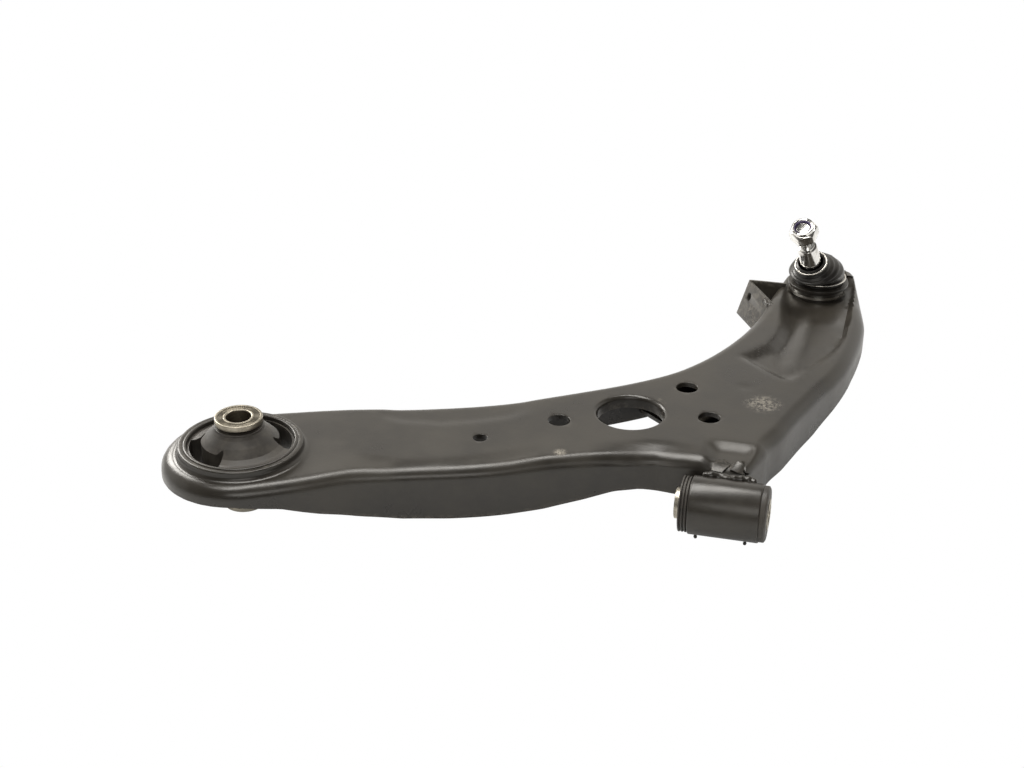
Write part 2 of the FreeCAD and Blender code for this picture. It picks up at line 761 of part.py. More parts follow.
def hexagon(flats, length, base):
    """Hexagonal bar along the stud."""
    radius = flats / math.sqrt(3)
    corners = [turned(radius, 60 * i + NUT_TURN) for i in range(7)]
    bar = Part.Face(Part.makePolygon(corners)).extrude(V(0, 0, length))
    bar.Placement = FreeCAD.Placement(base, FreeCAD.Rotation(Z_AXIS, STUD))
    return bar


def lock_nut():
    """Hexagon nut with a round collar that holds a nylon ring."""
    bore = THREAD_RADIUS + FIT
    corner = NUT_FLATS / math.sqrt(3)
    body = hexagon(NUT_FLATS, NUT_HEX, along_stud(NUT_BASE))
    bevel = 1.6
    dome = revolve(
        [
            (0, 0),
            (corner - 1, 0),
            (corner + 0.2, 0.7),
            (corner + 0.2, NUT_HEX - bevel),
            (corner - 1.8, NUT_HEX),
            (0, NUT_HEX),
        ],
        along_stud(NUT_BASE),
        STUD,
    )
    collar = cylinder(NUT_COLLAR_RADIUS, NUT_LENGTH, along_stud(NUT_BASE), STUD)
    nut = body.common(dome).fuse(collar)
    seat = NUT_LENGTH - NUT_EYE_WALL - INSERT_THICK
    nut = nut.cut(cylinder(bore, NUT_LENGTH, along_stud(NUT_BASE), STUD))
    nut = nut.cut(cylinder(INSERT_RADIUS, INSERT_THICK, along_stud(NUT_BASE + seat), STUD))
    eye = along_stud(NUT_BASE + seat + INSERT_THICK)
    return nut.cut(cylinder(NUT_EYE_RADIUS, NUT_EYE_WALL + 1, eye, STUD))


def nut_nylon_insert():
    base = along_stud(NUT_BASE + NUT_LENGTH - NUT_EYE_WALL - INSERT_THICK)
    return ring(INSERT_RADIUS, THREAD_RADIUS + FIT, INSERT_THICK, base, STUD)


def circle_wire(radius, centre, axis):
    return Part.Wire(Part.makeCircle(radius, centre, axis))


def dust_boot():
    """Bellows from the housing collar to the stud, leaning with the stud."""
    foot = JOINT + V(0, 0, TOP + HOUSING_FLANGE + APART)
    waist = JOINT + V(0, 0, TOP + COLLAR_TOP + 1.0)
    half_way = V((STUD.x) / 2, (STUD.y) / 2, (STUD.z + 1) / 2).normalize()
    belly = along_stud(0.58 * BOOT_TOP) + V(0, 0, 1.5)
    lip = along_stud(BOOT_TOP)
    lip_low = along_stud(BOOT_TOP - 3.5)

    def skin(shrink, foot_radius, neck_radius, extra):
        return Part.makeLoft(
            [
                circle_wire(foot_radius, foot - V(0, 0, extra), Z_AXIS),
                circle_wire(foot_radius, waist, Z_AXIS),
                circle_wire(BOOT_BELLY_RADIUS - shrink - 1.8, belly, half_way),
                circle_wire(neck_radius + BOOT_FLARE, lip_low, STUD),
                circle_wire(neck_radius, lip + STUD * extra, STUD),
            ],
            True,
            True,
        )

    outer = skin(0, BOOT_FOOT_RADIUS - RING_WIRE, BOOT_NECK_RADIUS, 0)
    inner_foot = COLLAR_RADIUS + APART
    inner_neck = SHANK_BASE_RADIUS + APART
    return outer.cut(skin(BOOT_WALL, inner_foot, inner_neck, 2))


def wire_ring(radius, centre, axis):
    return_to = FreeCAD.Rotation(Z_AXIS, axis)
    coil = Part.makeTorus(radius, RING_WIRE)
    coil.Placement = FreeCAD.Placement(centre, return_to)
    return coil


def boot_top_ring():
    seat = BOOT_NECK_RADIUS + 0.25 * BOOT_FLARE
    return wire_ring(seat + 1.1 * (APART + RING_WIRE), along_stud(BOOT_TOP - 0.8), STUD)


def boot_bottom_ring():
    centre = JOINT + V(0, 0, TOP + LOWER_RING_HEIGHT)
    return wire_ring(BOOT_FOOT_RADIUS + 1.2 * APART, centre, Z_AXIS)


# ------------------------------------------------------------------- bracket

def bracket_corners():
    """Outer corners of the lug at its top: front end, bend and back end."""
    bend = V(HEAD_LEFT - BRACKET_OUT + 3, REACH - BRACKET_BACK, 0)
    front = V(HEAD_LEFT + 8, bend.y - BRACKET_RUN, 0)
    back = V(HEAD_LEFT + 10, bend.y + 0.5, 0)
    return front, bend, back


def bracket(outer):
    """Folded lug on the head's left side, leaning outwards at its foot."""
    front, bend, back = bracket_corners()
    wide = BRACKET_SHEET
    leaf = (front - bend).normalize()
    across = V(-leaf.y, leaf.x, 0) * wide
    plan = [
        front,
        bend,
        back,
        back - V(0, wide, 0),
        bend + V(wide * 1.55, -wide, 0),
        front + across,
    ]
    lean = V(-BRACKET_LEAN, -0.4 * BRACKET_LEAN, TOP - BRACKET_HEIGHT)
    upper = [p + V(0, 0, TOP) for p in plan]
    lower = [p + lean for p in plan]
    wires = [Part.makePolygon(ring_of + ring_of[:1]) for ring_of in (upper, lower)]
    body = Part.makeLoft(wires, True, True)
    share = BRACKET_HOLE_DOWN / BRACKET_HEIGHT
    start = bend + leaf * BRACKET_HOLE_IN - across * 3
    hole = V(start.x + lean.x * share, start.y + lean.y * share, TOP - BRACKET_HOLE_DOWN)
    body = body.cut(cylinder(BRACKET_HOLE_RADIUS, 8 * wide, hole, across))
    return biggest(body.cut(outer))


def bracket_weld(outer, lug):
    """Short bead where the lug's front leaf meets the head's rolled edge."""
    front, bend, _ = bracket_corners()
    along = (front - bend).normalize()
    length = (front - bend).Length
    drop = V(0, 0, TOP - 2.2)
    bead = cylinder(WELD_RADIUS, 0.42 * length, bend + along * (0.52 * length) + drop, along)
    return biggest(bead.cut(outer).cut(lug))


def main():
    os.makedirs("parts", exist_ok=True)
    outer = outer_block()
    inside = cavity()
    pressing = arm_pressing(outer, inside)
    tube = front_bush_tube()
    lug = bracket(outer)
    solids = {
        "arm_pressing": pressing,
        "lower_reinforcement": lower_reinforcement(inside),
        "rear_bush_can": rear_bush_can(),
        "rear_bush_rubber": rear_bush_rubber(),
        "rear_inner_sleeve": rear_inner_sleeve(),
        "front_bush_tube": tube,
        "front_bush_outer_sleeve": front_bush_outer_sleeve(),
        "front_bush_rubber": front_bush_rubber(),
        "front_inner_sleeve": front_inner_sleeve(),
        "front_tube_weld": front_tube_weld(pressing, tube),
        "ball_joint_housing": ball_joint_housing(),
        "ball_seat": ball_seat(),
        "seat_preload_ring": seat_preload_ring(),
        "ball_joint_cover": ball_joint_cover(),
        "housing_snap_ring": housing_snap_ring(),
        "ball_stud": ball_stud(),
        "dust_boot": dust_boot(),
        "boot_top_ring": boot_top_ring(),
        "boot_bottom_ring": boot_bottom_ring(),
        "lock_nut": lock_nut(),
        "nut_nylon_insert": nut_nylon_insert(),
        "bracket": lug,
        "bracket_weld": bracket_weld(outer, lug),
    }
    for name, solid in solids.items():
        solid.exportStep(f"parts/{name}.step")


main()
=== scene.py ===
import json
import math

import bpy
from mathutils import Matrix, Vector, geometry, kdtree


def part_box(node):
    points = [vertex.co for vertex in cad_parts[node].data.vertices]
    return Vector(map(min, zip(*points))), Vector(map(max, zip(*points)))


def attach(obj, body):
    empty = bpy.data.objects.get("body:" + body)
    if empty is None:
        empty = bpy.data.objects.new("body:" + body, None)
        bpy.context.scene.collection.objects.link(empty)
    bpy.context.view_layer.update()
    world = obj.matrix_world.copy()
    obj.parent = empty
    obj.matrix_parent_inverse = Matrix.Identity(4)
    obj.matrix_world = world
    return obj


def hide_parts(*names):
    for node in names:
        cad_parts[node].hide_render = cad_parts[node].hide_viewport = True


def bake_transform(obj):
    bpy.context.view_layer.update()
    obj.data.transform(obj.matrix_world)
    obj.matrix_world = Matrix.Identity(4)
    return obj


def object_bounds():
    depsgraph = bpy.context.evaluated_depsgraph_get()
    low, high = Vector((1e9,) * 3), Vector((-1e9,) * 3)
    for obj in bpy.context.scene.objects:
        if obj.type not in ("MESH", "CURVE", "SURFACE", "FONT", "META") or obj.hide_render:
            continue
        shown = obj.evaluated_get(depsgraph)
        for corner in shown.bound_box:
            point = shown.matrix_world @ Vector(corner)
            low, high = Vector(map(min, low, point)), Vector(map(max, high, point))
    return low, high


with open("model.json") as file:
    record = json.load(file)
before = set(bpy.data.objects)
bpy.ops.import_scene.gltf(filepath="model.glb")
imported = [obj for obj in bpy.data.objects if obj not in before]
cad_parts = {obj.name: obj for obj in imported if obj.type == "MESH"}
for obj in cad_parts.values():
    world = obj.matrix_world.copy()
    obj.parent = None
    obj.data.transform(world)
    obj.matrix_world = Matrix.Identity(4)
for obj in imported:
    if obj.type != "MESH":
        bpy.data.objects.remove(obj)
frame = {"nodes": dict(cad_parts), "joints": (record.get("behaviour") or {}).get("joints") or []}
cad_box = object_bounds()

# A stamped suspension arm with two rubber bushes and a ball joint.  The helpers
# below take millimetres and degrees and turn them into Blender's metres.

MM = 0.001
UP = Vector((0, 0, 1))
RIGHT = Vector((1, 0, 0))


def joint_place(name):
    """A joint's point, in millimetres, and its axis."""
    joint = next(j for j in frame["joints"] if j["name"] == name)
    return Vector(joint["pos_m"]) / MM, Vector(joint["axis"]).normalized()


BALL, STUD = joint_place("stud_spin")
REAR, _ = joint_place("rear_sleeve_tilt")
LENGTH = -REAR.x           # front bush to rear bush
REACH = BALL.y             # front bush to ball joint
PRESSING_LOW, PRESSING_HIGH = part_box("arm_pressing")
COLLAR_HEIGHT = 5.5
TOP = PRESSING_HIGH[2] / MM - COLLAR_HEIGHT
SHEET = 3.0
ROLL = 8.0
CORNER = ROLL + 0.6
TUBE_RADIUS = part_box("front_bush_tube")[1][2] / MM
TUBE_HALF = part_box("front_bush_tube")[1][0] / MM
REAR_END_RADIUS = 46.0
HEAD_LEFT = BALL.x - 31.0
HEAD_RIGHT = BALL.x + 33.0
HEAD_END = REACH + 65.0


# ------------------------------------------------------------------- helpers

def flat(radius, angle):
    """Point in plan at a radius and an angle in degrees."""
    turn = math.radians(angle)
    return Vector((radius * math.cos(turn), radius * math.sin(turn), 0))


def ease(low, high, value):
    """0 below low, 1 above high, and smooth in between."""
    share = min(max((value - low) / (high - low), 0.0), 1.0)
    return share * share * (3 - 2 * share)


def deselect():
    if bpy.context.object and bpy.context.object.mode != "OBJECT":
        bpy.ops.object.mode_set(mode="OBJECT")
    bpy.ops.object.select_all(action="DESELECT")


def only(piece):
    deselect()
    piece.select_set(True)
    bpy.context.view_layer.objects.active = piece


def added(name):
    """The primitive that was just added, named, in object mode."""
    piece = bpy.context.object
    piece.name = name
    piece.data.name = name
    return piece


def select_where(piece, kind, test):
    """Select only the vertices, edges or faces that pass a test."""
    bpy.ops.object.mode_set(mode="EDIT")
    bpy.ops.mesh.select_mode(type=kind)
    bpy.ops.mesh.select_all(action="DESELECT")
    bpy.ops.object.mode_set(mode="OBJECT")
    mesh = piece.data
    parts = {"VERT": mesh.vertices, "EDGE": mesh.edges, "FACE": mesh.polygons}[kind]
    for part in parts:
        part.select = test(part)
    bpy.ops.object.mode_set(mode="EDIT")


def move_points(piece, place):
    """Give every vertex the place, in millimetres, that a function works out."""
    for vertex in piece.data.vertices:
        vertex.co = Vector(place(vertex.co / MM)) * MM


def apply_modifier(piece, name, kind, **settings):
    only(piece)
    modifier = piece.modifiers.new(name, kind)
    for key, value in settings.items():
        setattr(modifier, key, value)
    bpy.ops.object.modifier_apply(modifier=modifier.name)


def carve(piece, tool, operation="DIFFERENCE", solver="EXACT"):
    """Cut a tool out of a piece, or join it on, and remove the tool.

    The arm needs the manifold solver: the exact one leaves open edges there.
    """
    apply_modifier(piece, "carve", "BOOLEAN", object=tool, operation=operation, solver=solver)
    bpy.data.objects.remove(tool)


def mend(piece, merge=0.001):
    only(piece)
    bpy.ops.object.mode_set(mode="EDIT")
    bpy.ops.mesh.select_all(action="SELECT")
    bpy.ops.mesh.remove_doubles(threshold=merge * MM)
    bpy.ops.mesh.normals_make_consistent(inside=False)
    bpy.ops.object.mode_set(mode="OBJECT")


def smooth(piece, angle=35):
    only(piece)
    bpy.ops.object.shade_smooth_by_angle(angle=math.radians(angle))


def aim(centre, axis=UP, turn=0.0):
    """Matrix from a shape built on +Z at the origin to its place, in metres."""
    lean = UP.rotation_difference(axis).to_matrix().to_4x4()
    spin = Matrix.Rotation(math.radians(turn), 4, "Z")
    return Matrix.Translation(Vector(centre) * MM) @ lean @ spin


def rounded_profile(corners, steps=4):
    """Closed profile of (radius, height, rounding) with its corners rounded."""
    points = []
    count = len(corners)
    for index, (radius, height, rounding) in enumerate(corners):
        here = Vector((radius, height))
        if rounding == 0:
            points.append(here)
            continue
        before = Vector(corners[index - 1][:2]) - here
        after = Vector(corners[(index + 1) % count][:2]) - here
        half = before.angle(after) / 2
        reach = min(rounding / math.tan(half), 0.48 * before.length, 0.48 * after.length)
        first = here + before.normalized() * reach
        last = here + after.normalized() * reach
        for step in range(steps + 1):
            share = step / steps
            points.append(first.lerp(here, share).lerp(here.lerp(last, share), share))
    return points


def turned_piece(name, corners, centre, axis=UP, steps=96, rounding_steps=4):
    """A ring or a solid spun from a closed profile."""
    profile = rounded_profile(corners, rounding_steps)
    deselect()
    bpy.ops.mesh.primitive_circle_add(vertices=len(profile), radius=1)
    piece = added(name)
    for vertex, (radius, height) in zip(piece.data.vertices, profile):
        vertex.co = Vector((radius, 0, height)) * MM
    bpy.ops.object.mode_set(mode="EDIT")
    bpy.ops.mesh.select_all(action="SELECT")
    bpy.ops.mesh.spin(steps=steps, angle=2 * math.pi, center=(0, 0, 0), axis=(0, 0, 1))
    bpy.ops.object.mode_set(mode="OBJECT")
    mend(piece)
    piece.data.transform(aim(centre, axis))
    return piece


def joined(name, pieces):
    deselect()
    for piece in pieces:
        piece.select_set(True)
    bpy.context.view_layer.objects.active = pieces[0]
    bpy.ops.object.join()
    return added(name)


def finished(piece, finish, slot, body, *nodes):
    """Give a piece its finish, its body and the CAD nodes that it stands for."""
    piece.data.materials.clear()
    piece.data.materials.append(finish)
    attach(piece, body)
    if nodes:
        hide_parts(*nodes)
    return piece


# ----------------------------------------------------------------- materials

class Signal:
    """A socket of a finish that can be used in sums and products."""

    def __init__(self, finish, socket):
        self.finish = finish
        self.socket = socket

    def sum_up(self, operation, first, second):
        return self.finish.node("ShaderNodeMath", {"operation": operation}, {0: first, 1: second})

    def __add__(self, other):
        return self.sum_up("ADD", self, other)

    __radd__ = __add__

    def __sub__(self, other):
        return self.sum_up("SUBTRACT", self, other)

    def __rsub__(self, other):
        return self.sum_up("SUBTRACT", other, self)

    def __mul__(self, other):
        return self.sum_up("MULTIPLY", self, other)

    __rmul__ = __mul__

    def __truediv__(self, other):
        return self.sum_up("DIVIDE", self, other)


class Finish:
    """A material whose nodes are added one call at a time."""

    def __init__(self, name, **constants):
        self.material = bpy.data.materials.new(name)
        self.material.use_nodes = True
        self.tree = self.material.node_tree
        self.shader = self.tree.nodes["Principled BSDF"]
        for key, value in constants.items():
            socket = self.shader.inputs[key.replace("_", " ")]
            socket.default_value = value
        self.place = self.node("ShaderNodeTexCoord", output="Object")

    def node(self, kind, settings=None, inputs=None, output=0):
        """Add a node: its settings first, then the values or links of its sockets."""
        node = self.tree.nodes.new(kind)
        for key, value in (settings or {}).items():
            setattr(node, key, value)
        for key, value in (inputs or {}).items():
            if isinstance(value, Signal):
                self.tree.links.new(value.socket, node.inputs[key])
            else:
                node.inputs[key].default_value = value
        return Signal(self, node.outputs[output])

    def feed(self, name, signal):
        self.tree.links.new(signal.socket, self.shader.inputs[name])

    def noise(self, size, detail=3.0, rough=0.5, place=None):
        """Noise from 0 to 1 whose blotches are about size millimetres across."""
        inputs = {"Vector": place or self.place, "Scale": 1 / (size * MM)}
        inputs.update({"Detail": detail, "Roughness": rough})
        return self.node("ShaderNodeTexNoise", None, inputs, "Fac")

    def band(self, value, low, high):
        """0 below low, 1 above high, and smooth in between."""
        settings = {"interpolation_type": "SMOOTHSTEP"}
        inputs = {"Value": value, "From Min": low, "From Max": high}
        return self.node("ShaderNodeMapRange", settings, inputs)

    def blend(self, share, first, second):
        """Mix of two colours."""
        inputs = {0: share, 6: first, 7: second}
        return self.node("ShaderNodeMix", {"data_type": "RGBA"}, inputs, 2)

    def spot(self, centre, radius, soft):
        """1 inside a ball about a point, fading out over soft millimetres."""
        inputs = {0: self.place, 1: Vector(centre) * MM}
        away = self.node("ShaderNodeVectorMath", {"operation": "DISTANCE"}, inputs, "Value")
        return 1 - self.band(away, (radius - soft) * MM, (radius + soft) * MM)

    def bump(self, height, strength, depth, normal=None):
        """Normal from a height of 0 to 1 that stands for depth millimetres."""
        inputs = {"Height": height, "Strength": strength, "Distance": depth * MM}
        if normal:
            inputs["Normal"] = normal
        return self.node("ShaderNodeBump", None, inputs, "Normal")


def colour(red, green, blue):
    return (red, green, blue, 1.0)


def electrocoat():
    """Black dip paint over pressed steel, satin, with handling marks."""
    f = Finish("electrocoat", IOR=1.5)
    clouds = f.band(f.noise(45, 4, 0.6), 0.35, 0.68)
    specks = f.band(f.noise(1.6, 2, 0.5), 0.66, 0.74)
    wiped = f.band(f.noise(11, 5, 0.65), 0.5, 0.75)
    base = f.blend(clouds, colour(0.020, 0.0175, 0.0145), colour(0.034, 0.030, 0.024))
    edge = f.node("ShaderNodeNewGeometry", output="Pointiness")
    worn = f.band(edge, 0.53, 0.60) * f.band(f.noise(3, 4, 0.7), 0.42, 0.62)
    base = f.blend(0.35 * worn, base, colour(0.16, 0.145, 0.12))
    smudge = f.spot((8.0, 94.0, TOP), 9, 5) * f.band(f.noise(2.2, 5, 0.7), 0.42, 0.66)
    chips = f.spot((-97.7, 7.0, TOP), 3, 2) * f.band(f.noise(1.0, 4, 0.7), 0.40, 0.55)
    base = f.blend(0.40 * smudge + 0.55 * chips, base, colour(0.50, 0.46, 0.39))
    f.feed("Base Color", base)
    f.feed("Roughness", 0.27 + 0.09 * clouds + 0.05 * wiped + 0.10 * specks)
    peel = f.bump(f.noise(1.1, 2, 0.5), 0.10, 0.25)
    f.feed("Normal", f.bump(f.noise(26, 2, 0.4), 0.10, 0.9, peel))
    return f.material


def bush_rubber():
    f = Finish("bush_rubber", IOR=1.5)
    bloom = f.band(f.noise(14, 4, 0.6), 0.35, 0.70)
    grit = f.noise(0.7, 3, 0.6)
    base = f.blend(bloom, colour(0.026, 0.023, 0.020), colour(0.060, 0.053, 0.044))
    f.feed("Base Color", base)
    f.feed("Roughness", 0.40 + 0.16 * bloom + 0.06 * grit)
    fine = f.bump(grit, 0.18, 0.12)
    f.feed("Normal", f.bump(f.noise(7, 3, 0.5), 0.15, 0.5, fine))
    return f.material


def boot_rubber():
    f = Finish("boot_rubber", IOR=1.5)
    dust = f.band(f.noise(9, 4, 0.6), 0.42, 0.75)
    base = f.blend(dust, colour(0.012, 0.011, 0.010), colour(0.032, 0.029, 0.025))
    f.feed("Base Color", base)
    f.feed("Roughness", 0.30 + 0.20 * dust)
    f.feed("Normal", f.bump(f.noise(0.9, 2, 0.5), 0.12, 0.12))
    return f.material


def turned_steel(name, centre, axis, tint, rough):
    """Machined steel with fine rings about an axis and a little tarnish."""
    f = Finish(name, Metallic=1.0)
    arm = {0: f.place, 1: Vector(centre) * MM}
    arm = f.node("ShaderNodeVectorMath", {"operation": "SUBTRACT"}, arm)
    away = f.node("ShaderNodeVectorMath", {"operation": "CROSS_PRODUCT"}, {0: arm, 1: axis})
    radius = f.node("ShaderNodeVectorMath", {"operation": "LENGTH"}, {0: away}, "Value")
    along = f.node("ShaderNodeVectorMath", {"operation": "DOT_PRODUCT"}, {0: arm, 1: axis}, "Value")
    line = f.node("ShaderNodeCombineXYZ", None, {0: radius, 1: along})
    cuts = f.noise(0.25, 2, 0.5, line)
    tarnish = f.band(f.noise(6, 5, 0.65), 0.40, 0.72)
    dark = colour(*(0.55 * part for part in tint))
    f.feed("Base Color", f.blend(tarnish, colour(*tint), dark))
    f.feed("Roughness", rough + 0.12 * tarnish + 0.08 * cuts)
    f.feed("Normal", f.bump(cuts, 0.20, 0.04))
    return f.material


def bright_zinc():
    f = Finish("bright_zinc", Metallic=1.0)
    haze = f.band(f.noise(4, 4, 0.6), 0.40, 0.70)
    f.feed("Base Color", f.blend(haze, colour(0.86, 0.86, 0.84), colour(0.62, 0.60, 0.58)))
    f.feed("Roughness", 0.10 + 0.12 * haze)
    f.feed("Normal", f.bump(f.noise(1.5, 2, 0.5), 0.05, 0.05))
    return f.material


def ring_wire():
    f = Finish("ring_wire", Metallic=1.0)
    drawn = f.noise(1.2, 3, 0.6)
    f.feed("Base Color", f.blend(drawn, colour(0.80, 0.78, 0.74), colour(0.52, 0.50, 0.46)))
    f.feed("Roughness", 0.16 + 0.16 * drawn)
    f.feed("Normal", f.bump(drawn, 0.1, 0.05))
    return f.material


def dyed_nylon():
    f = Finish("dyed_nylon", IOR=1.53)
    flow = f.noise(2.5, 3, 0.5)
    f.feed("Base Color", f.blend(flow, colour(0.045, 0.035, 0.090), colour(0.085, 0.065, 0.14)))
    f.feed("Roughness", 0.34 + 0.12 * flow)
    f.feed("Normal", f.bump(f.noise(0.6, 2, 0.5), 0.08, 0.06))
    return f.material


def seat_polymer():
    f = Finish("seat_polymer", IOR=1.48)
    flow = f.noise(5, 3, 0.5)
    f.feed("Base Color", f.blend(flow, colour(0.74, 0.72, 0.64), colour(0.82, 0.80, 0.73)))
    f.feed("Roughness", 0.36 + 0.1 * flow)
    f.feed("Normal", f.bump(f.noise(0.8, 2, 0.5), 0.1, 0.08))
    return f.material


ECOAT = electrocoat()
BUSH_RUBBER = bush_rubber()
BOOT_RUBBER = boot_rubber()
ZINC = bright_zinc()
WIRE = ring_wire()
NYLON = dyed_nylon()
REAR_STEEL = turned_steel("rear_sleeve_steel", REAR, UP, (0.36, 0.33, 0.27), 0.30)
FRONT_STEEL = turned_steel("front_sleeve_steel", (0, 0, 0), RIGHT, (0.42, 0.39, 0.33), 0.28)
COVER_STEEL = turned_steel("cover_steel", BALL, UP, (0.38, 0.36, 0.31), 0.32)


# ------------------------------------------------------------ the pressed arm

def smooth_run(points, start, end, spacing=3.0):
    """Points along a smooth curve through points, with chosen end directions."""
    slopes = [Vector(start).normalized()]
    for before, after in zip(points, points[2:]):
        slopes.append((after - before).normalized())
    slopes.append(Vector(end).normalized())
    run = []
    for index in range(len(points) - 1):
        here, there = points[index], points[index + 1]
        chord = (there - here).length
        first = here + slopes[index] * chord / 3
        last = there - slopes[index + 1] * chord / 3
        count = max(3, round(chord / spacing) + 1)
        run += geometry.interpolate_bezier(here, first, last, there, count)[:-1]
    return run


def rounded_run(points, rounding, steps=7):
    """Straight runs between points, with each inner corner rounded."""
    run = []
    for before, here, after in zip(points, points[1:], points[2:]):
        back = (before - here).normalized()
        ahead = (after - here).normalized()
        half = back.angle(ahead) / 2
        reach = rounding / math.tan(half)
        middle = (back + ahead).normalized()
        centre = here + middle * rounding / math.sin(half)
        first = here + back * reach - centre
        last = here + ahead * reach - centre
        for step in range(steps + 1):
            run.append(centre + first.slerp(last, step / steps))
    return run


def filled_in(points, spacing=4.0):
    """The closed line evened out: near doubles dropped, long stretches divided."""
    kept = [points[0]]
    for point in points[1:]:
        if (point - kept[-1]).length > 0.4:
            kept.append(point)
    line = []
    for here, there in zip(kept, kept[1:] + kept[:1]):
        count = max(1, round((there - here).length / spacing))
        line += [here.lerp(there, step / count) for step in range(count)]
    return line


def arm_outline():
    """Outer face of the skirt in plan, anticlockwise from the rear end."""
    rear = Vector((REAR.x, REAR.y, 0))

    def at(x_share, y):
        return Vector((x_share * LENGTH, y, 0))

    sweep = [rear + flat(REAR_END_RADIUS, 112 + 186 * step / 48) for step in range(48)]
    near_start = rear + flat(REAR_END_RADIUS, 298)
    tongue_left, tongue_right = -17.0, 16.0
    near_corner = Vector((tongue_left, TUBE_RADIUS + 3, 0))
    tongue_y = near_corner.y - CORNER - 3.5
    near = [
        near_start,
        at(-0.839, near_start.y + 12.8),
        at(-0.739, near_start.y + 30.3),
        at(-0.650, near_start.y + 39.9),
        at(-0.495, near_start.y + 54.8),
        at(-0.345, near_start.y + 74.8),
        at(-0.225, TUBE_RADIUS - 5),
        at(-0.139, TUBE_RADIUS + 2),
    ]
    tongue = [
        Vector((tongue_left, tongue_y, 0)),
        Vector((tongue_right, tongue_y, 0)),
        Vector((tongue_right + 0.8, 0.15 * REACH, 0)),
    ]
    right = [
        tongue[-1],
        Vector((BALL.x + 1.5, 0.24 * REACH, 0)),
        Vector((BALL.x + 9, 0.335 * REACH, 0)),
        Vector((BALL.x + 18, 0.435 * REACH, 0)),
        Vector((BALL.x + 26, 0.516 * REACH, 0)),
        Vector((BALL.x + 32, 0.60 * REACH, 0)),
        Vector((HEAD_RIGHT + 3, 0.73 * REACH, 0)),
        Vector((HEAD_RIGHT + 3, 0.83 * REACH, 0)),
    ]
    head = [
        right[-1],
        Vector((HEAD_RIGHT - 2, HEAD_END - 35, 0)),
        Vector((BALL.x + 6, HEAD_END, 0)),
        Vector((BALL.x - 9, HEAD_END - 1, 0)),
        Vector((HEAD_LEFT, HEAD_END - 46, 0)),
        Vector((HEAD_LEFT, REACH - 30, 0)),
    ]
    far_end = rear + flat(REAR_END_RADIUS, 112)
    rise = head[-1].y - far_end.y
    far = [
        head[-1],
        Vector((HEAD_LEFT - 6, far_end.y + 0.825 * rise, 0)),
        at(-0.104, far_end.y + 0.652 * rise),
        at(-0.176, far_end.y + 0.513 * rise),
        at(-0.252, far_end.y + 0.427 * rise),
        at(-0.371, far_end.y + 0.33 * rise),
        at(-0.528, far_end.y + 0.221 * rise),
        at(-0.688, far_end.y + 0.148 * rise),
        at(-0.857, far_end.y + 0.092 * rise),
        far_end,
    ]
    line = sweep + smooth_run(near, flat(1, 28), near_corner - near[-1])
    line += rounded_run([near[-1], near_corner, tongue[0]], 2.5, 5)
    line += rounded_run([near_corner] + tongue, CORNER)
    line += smooth_run(right, tongue[-1] - tongue[-2], head[1] - head[0])
    line += rounded_run(head, CORNER)
    line += smooth_run(far, head[-1] - head[-2], flat(1, 202))
    return filled_in(line)


def follow(points, value):
    """Straight-line value along a short list of (place, value) pairs."""
    if value <= points[0][0]:
        return points[0][1]
    for (low, first), (high, last) in zip(points, points[1:]):
        if value <= high:
            return first + (last - first) * (value - low) / (high - low)
    return points[-1][1]


SKIRT_NEAR = [
    (-0.95 * LENGTH, 11.0), (-0.87 * LENGTH, 15.0), (-0.80 * LENGTH, 22.5),
    (-0.73 * LENGTH, 28.3), (-0.65 * LENGTH, 31.3), (-0.56 * LENGTH, 32.4),
    (-0.45 * LENGTH, 32.4), (-0.38 * LENGTH, 31.6), (-0.30 * LENGTH, 27.6),
    (-0.24 * LENGTH, 23.4), (-0.19 * LENGTH, 22.8), (-38.0, 24.8),
]
SKIRT_FAR = [(-0.95 * LENGTH, 11.0), (-0.85 * LENGTH, 18.0), (-0.70 * LENGTH, 28.0)]
SKIRT_HEAD = [(0.40 * REACH, 28.0), (0.62 * REACH, 18.5)]


def skirt_depth(point):
    """Depth of the skirt below the top plane at a point of the outline."""
    near_side = point.y < REAR.y + (point.x + LENGTH) * 0.37
    if point.x > -0.1 * LENGTH:
        near_side = point.y < TUBE_RADIUS + 23
    if near_side:
        return follow(SKIRT_NEAR, point.x)
    return min(follow(SKIRT_FAR, point.x), follow(SKIRT_HEAD, point.y))


CHANNEL_LEFT = [(128, 18), (140, 5), (154, -12), (164, -4), (175, 3), (189, 7), (207, 8), (262, 3)]
CHANNEL_GROOVE = [(128, 20), (153, 12), (175, 12), (198, 14), (230, 17), (262, 18)]
CHANNEL_RIGHT = [
    (128, 20), (136, 24), (155, 33), (170, 41), (186, 46), (205, 48.5), (226, 49.5), (262, 49),
]


def channel(x, y):
    """Hollow behind the ball joint, with a raised tongue between two grooves."""
    if y < 122 or y > 300:
        return 0.0
    left = follow(CHANNEL_LEFT, y)
    groove = follow(CHANNEL_GROOVE, y)
    right = follow(CHANNEL_RIGHT, y)
    inside = ease(left - 4, left + 5, x) * (1 - ease(right - 3.2, right + 0.6, x))
    inside *= ease(124, 140, y)
    depth = 2.2 + 3.0 * ease(140, 240, y)
    middle = 0.5 * (groove + right) + 1
    width = max(2.0, 0.42 * (right - groove))
    tongue = math.exp(-((x - middle) / width) ** 4) * ease(128, 150, y) * (1 - ease(215, 250, y))
    furrow = math.exp(-((x - groove) / 4.0) ** 2) * ease(135, 165, y)
    return -inside * (depth * (1 - 0.62 * tongue) + 0.9 * furrow)


LENS_EDGE = [(-214, 22), (-198, 18.9), (-174, 21.3), (-152, 30.8), (-136, 40), (-126, 52)]
STEP_EDGE = [(-205, -23.5), (-184, -24.7), (-162, -18), (-141, -9), (-126, 1), (-111, 11)]


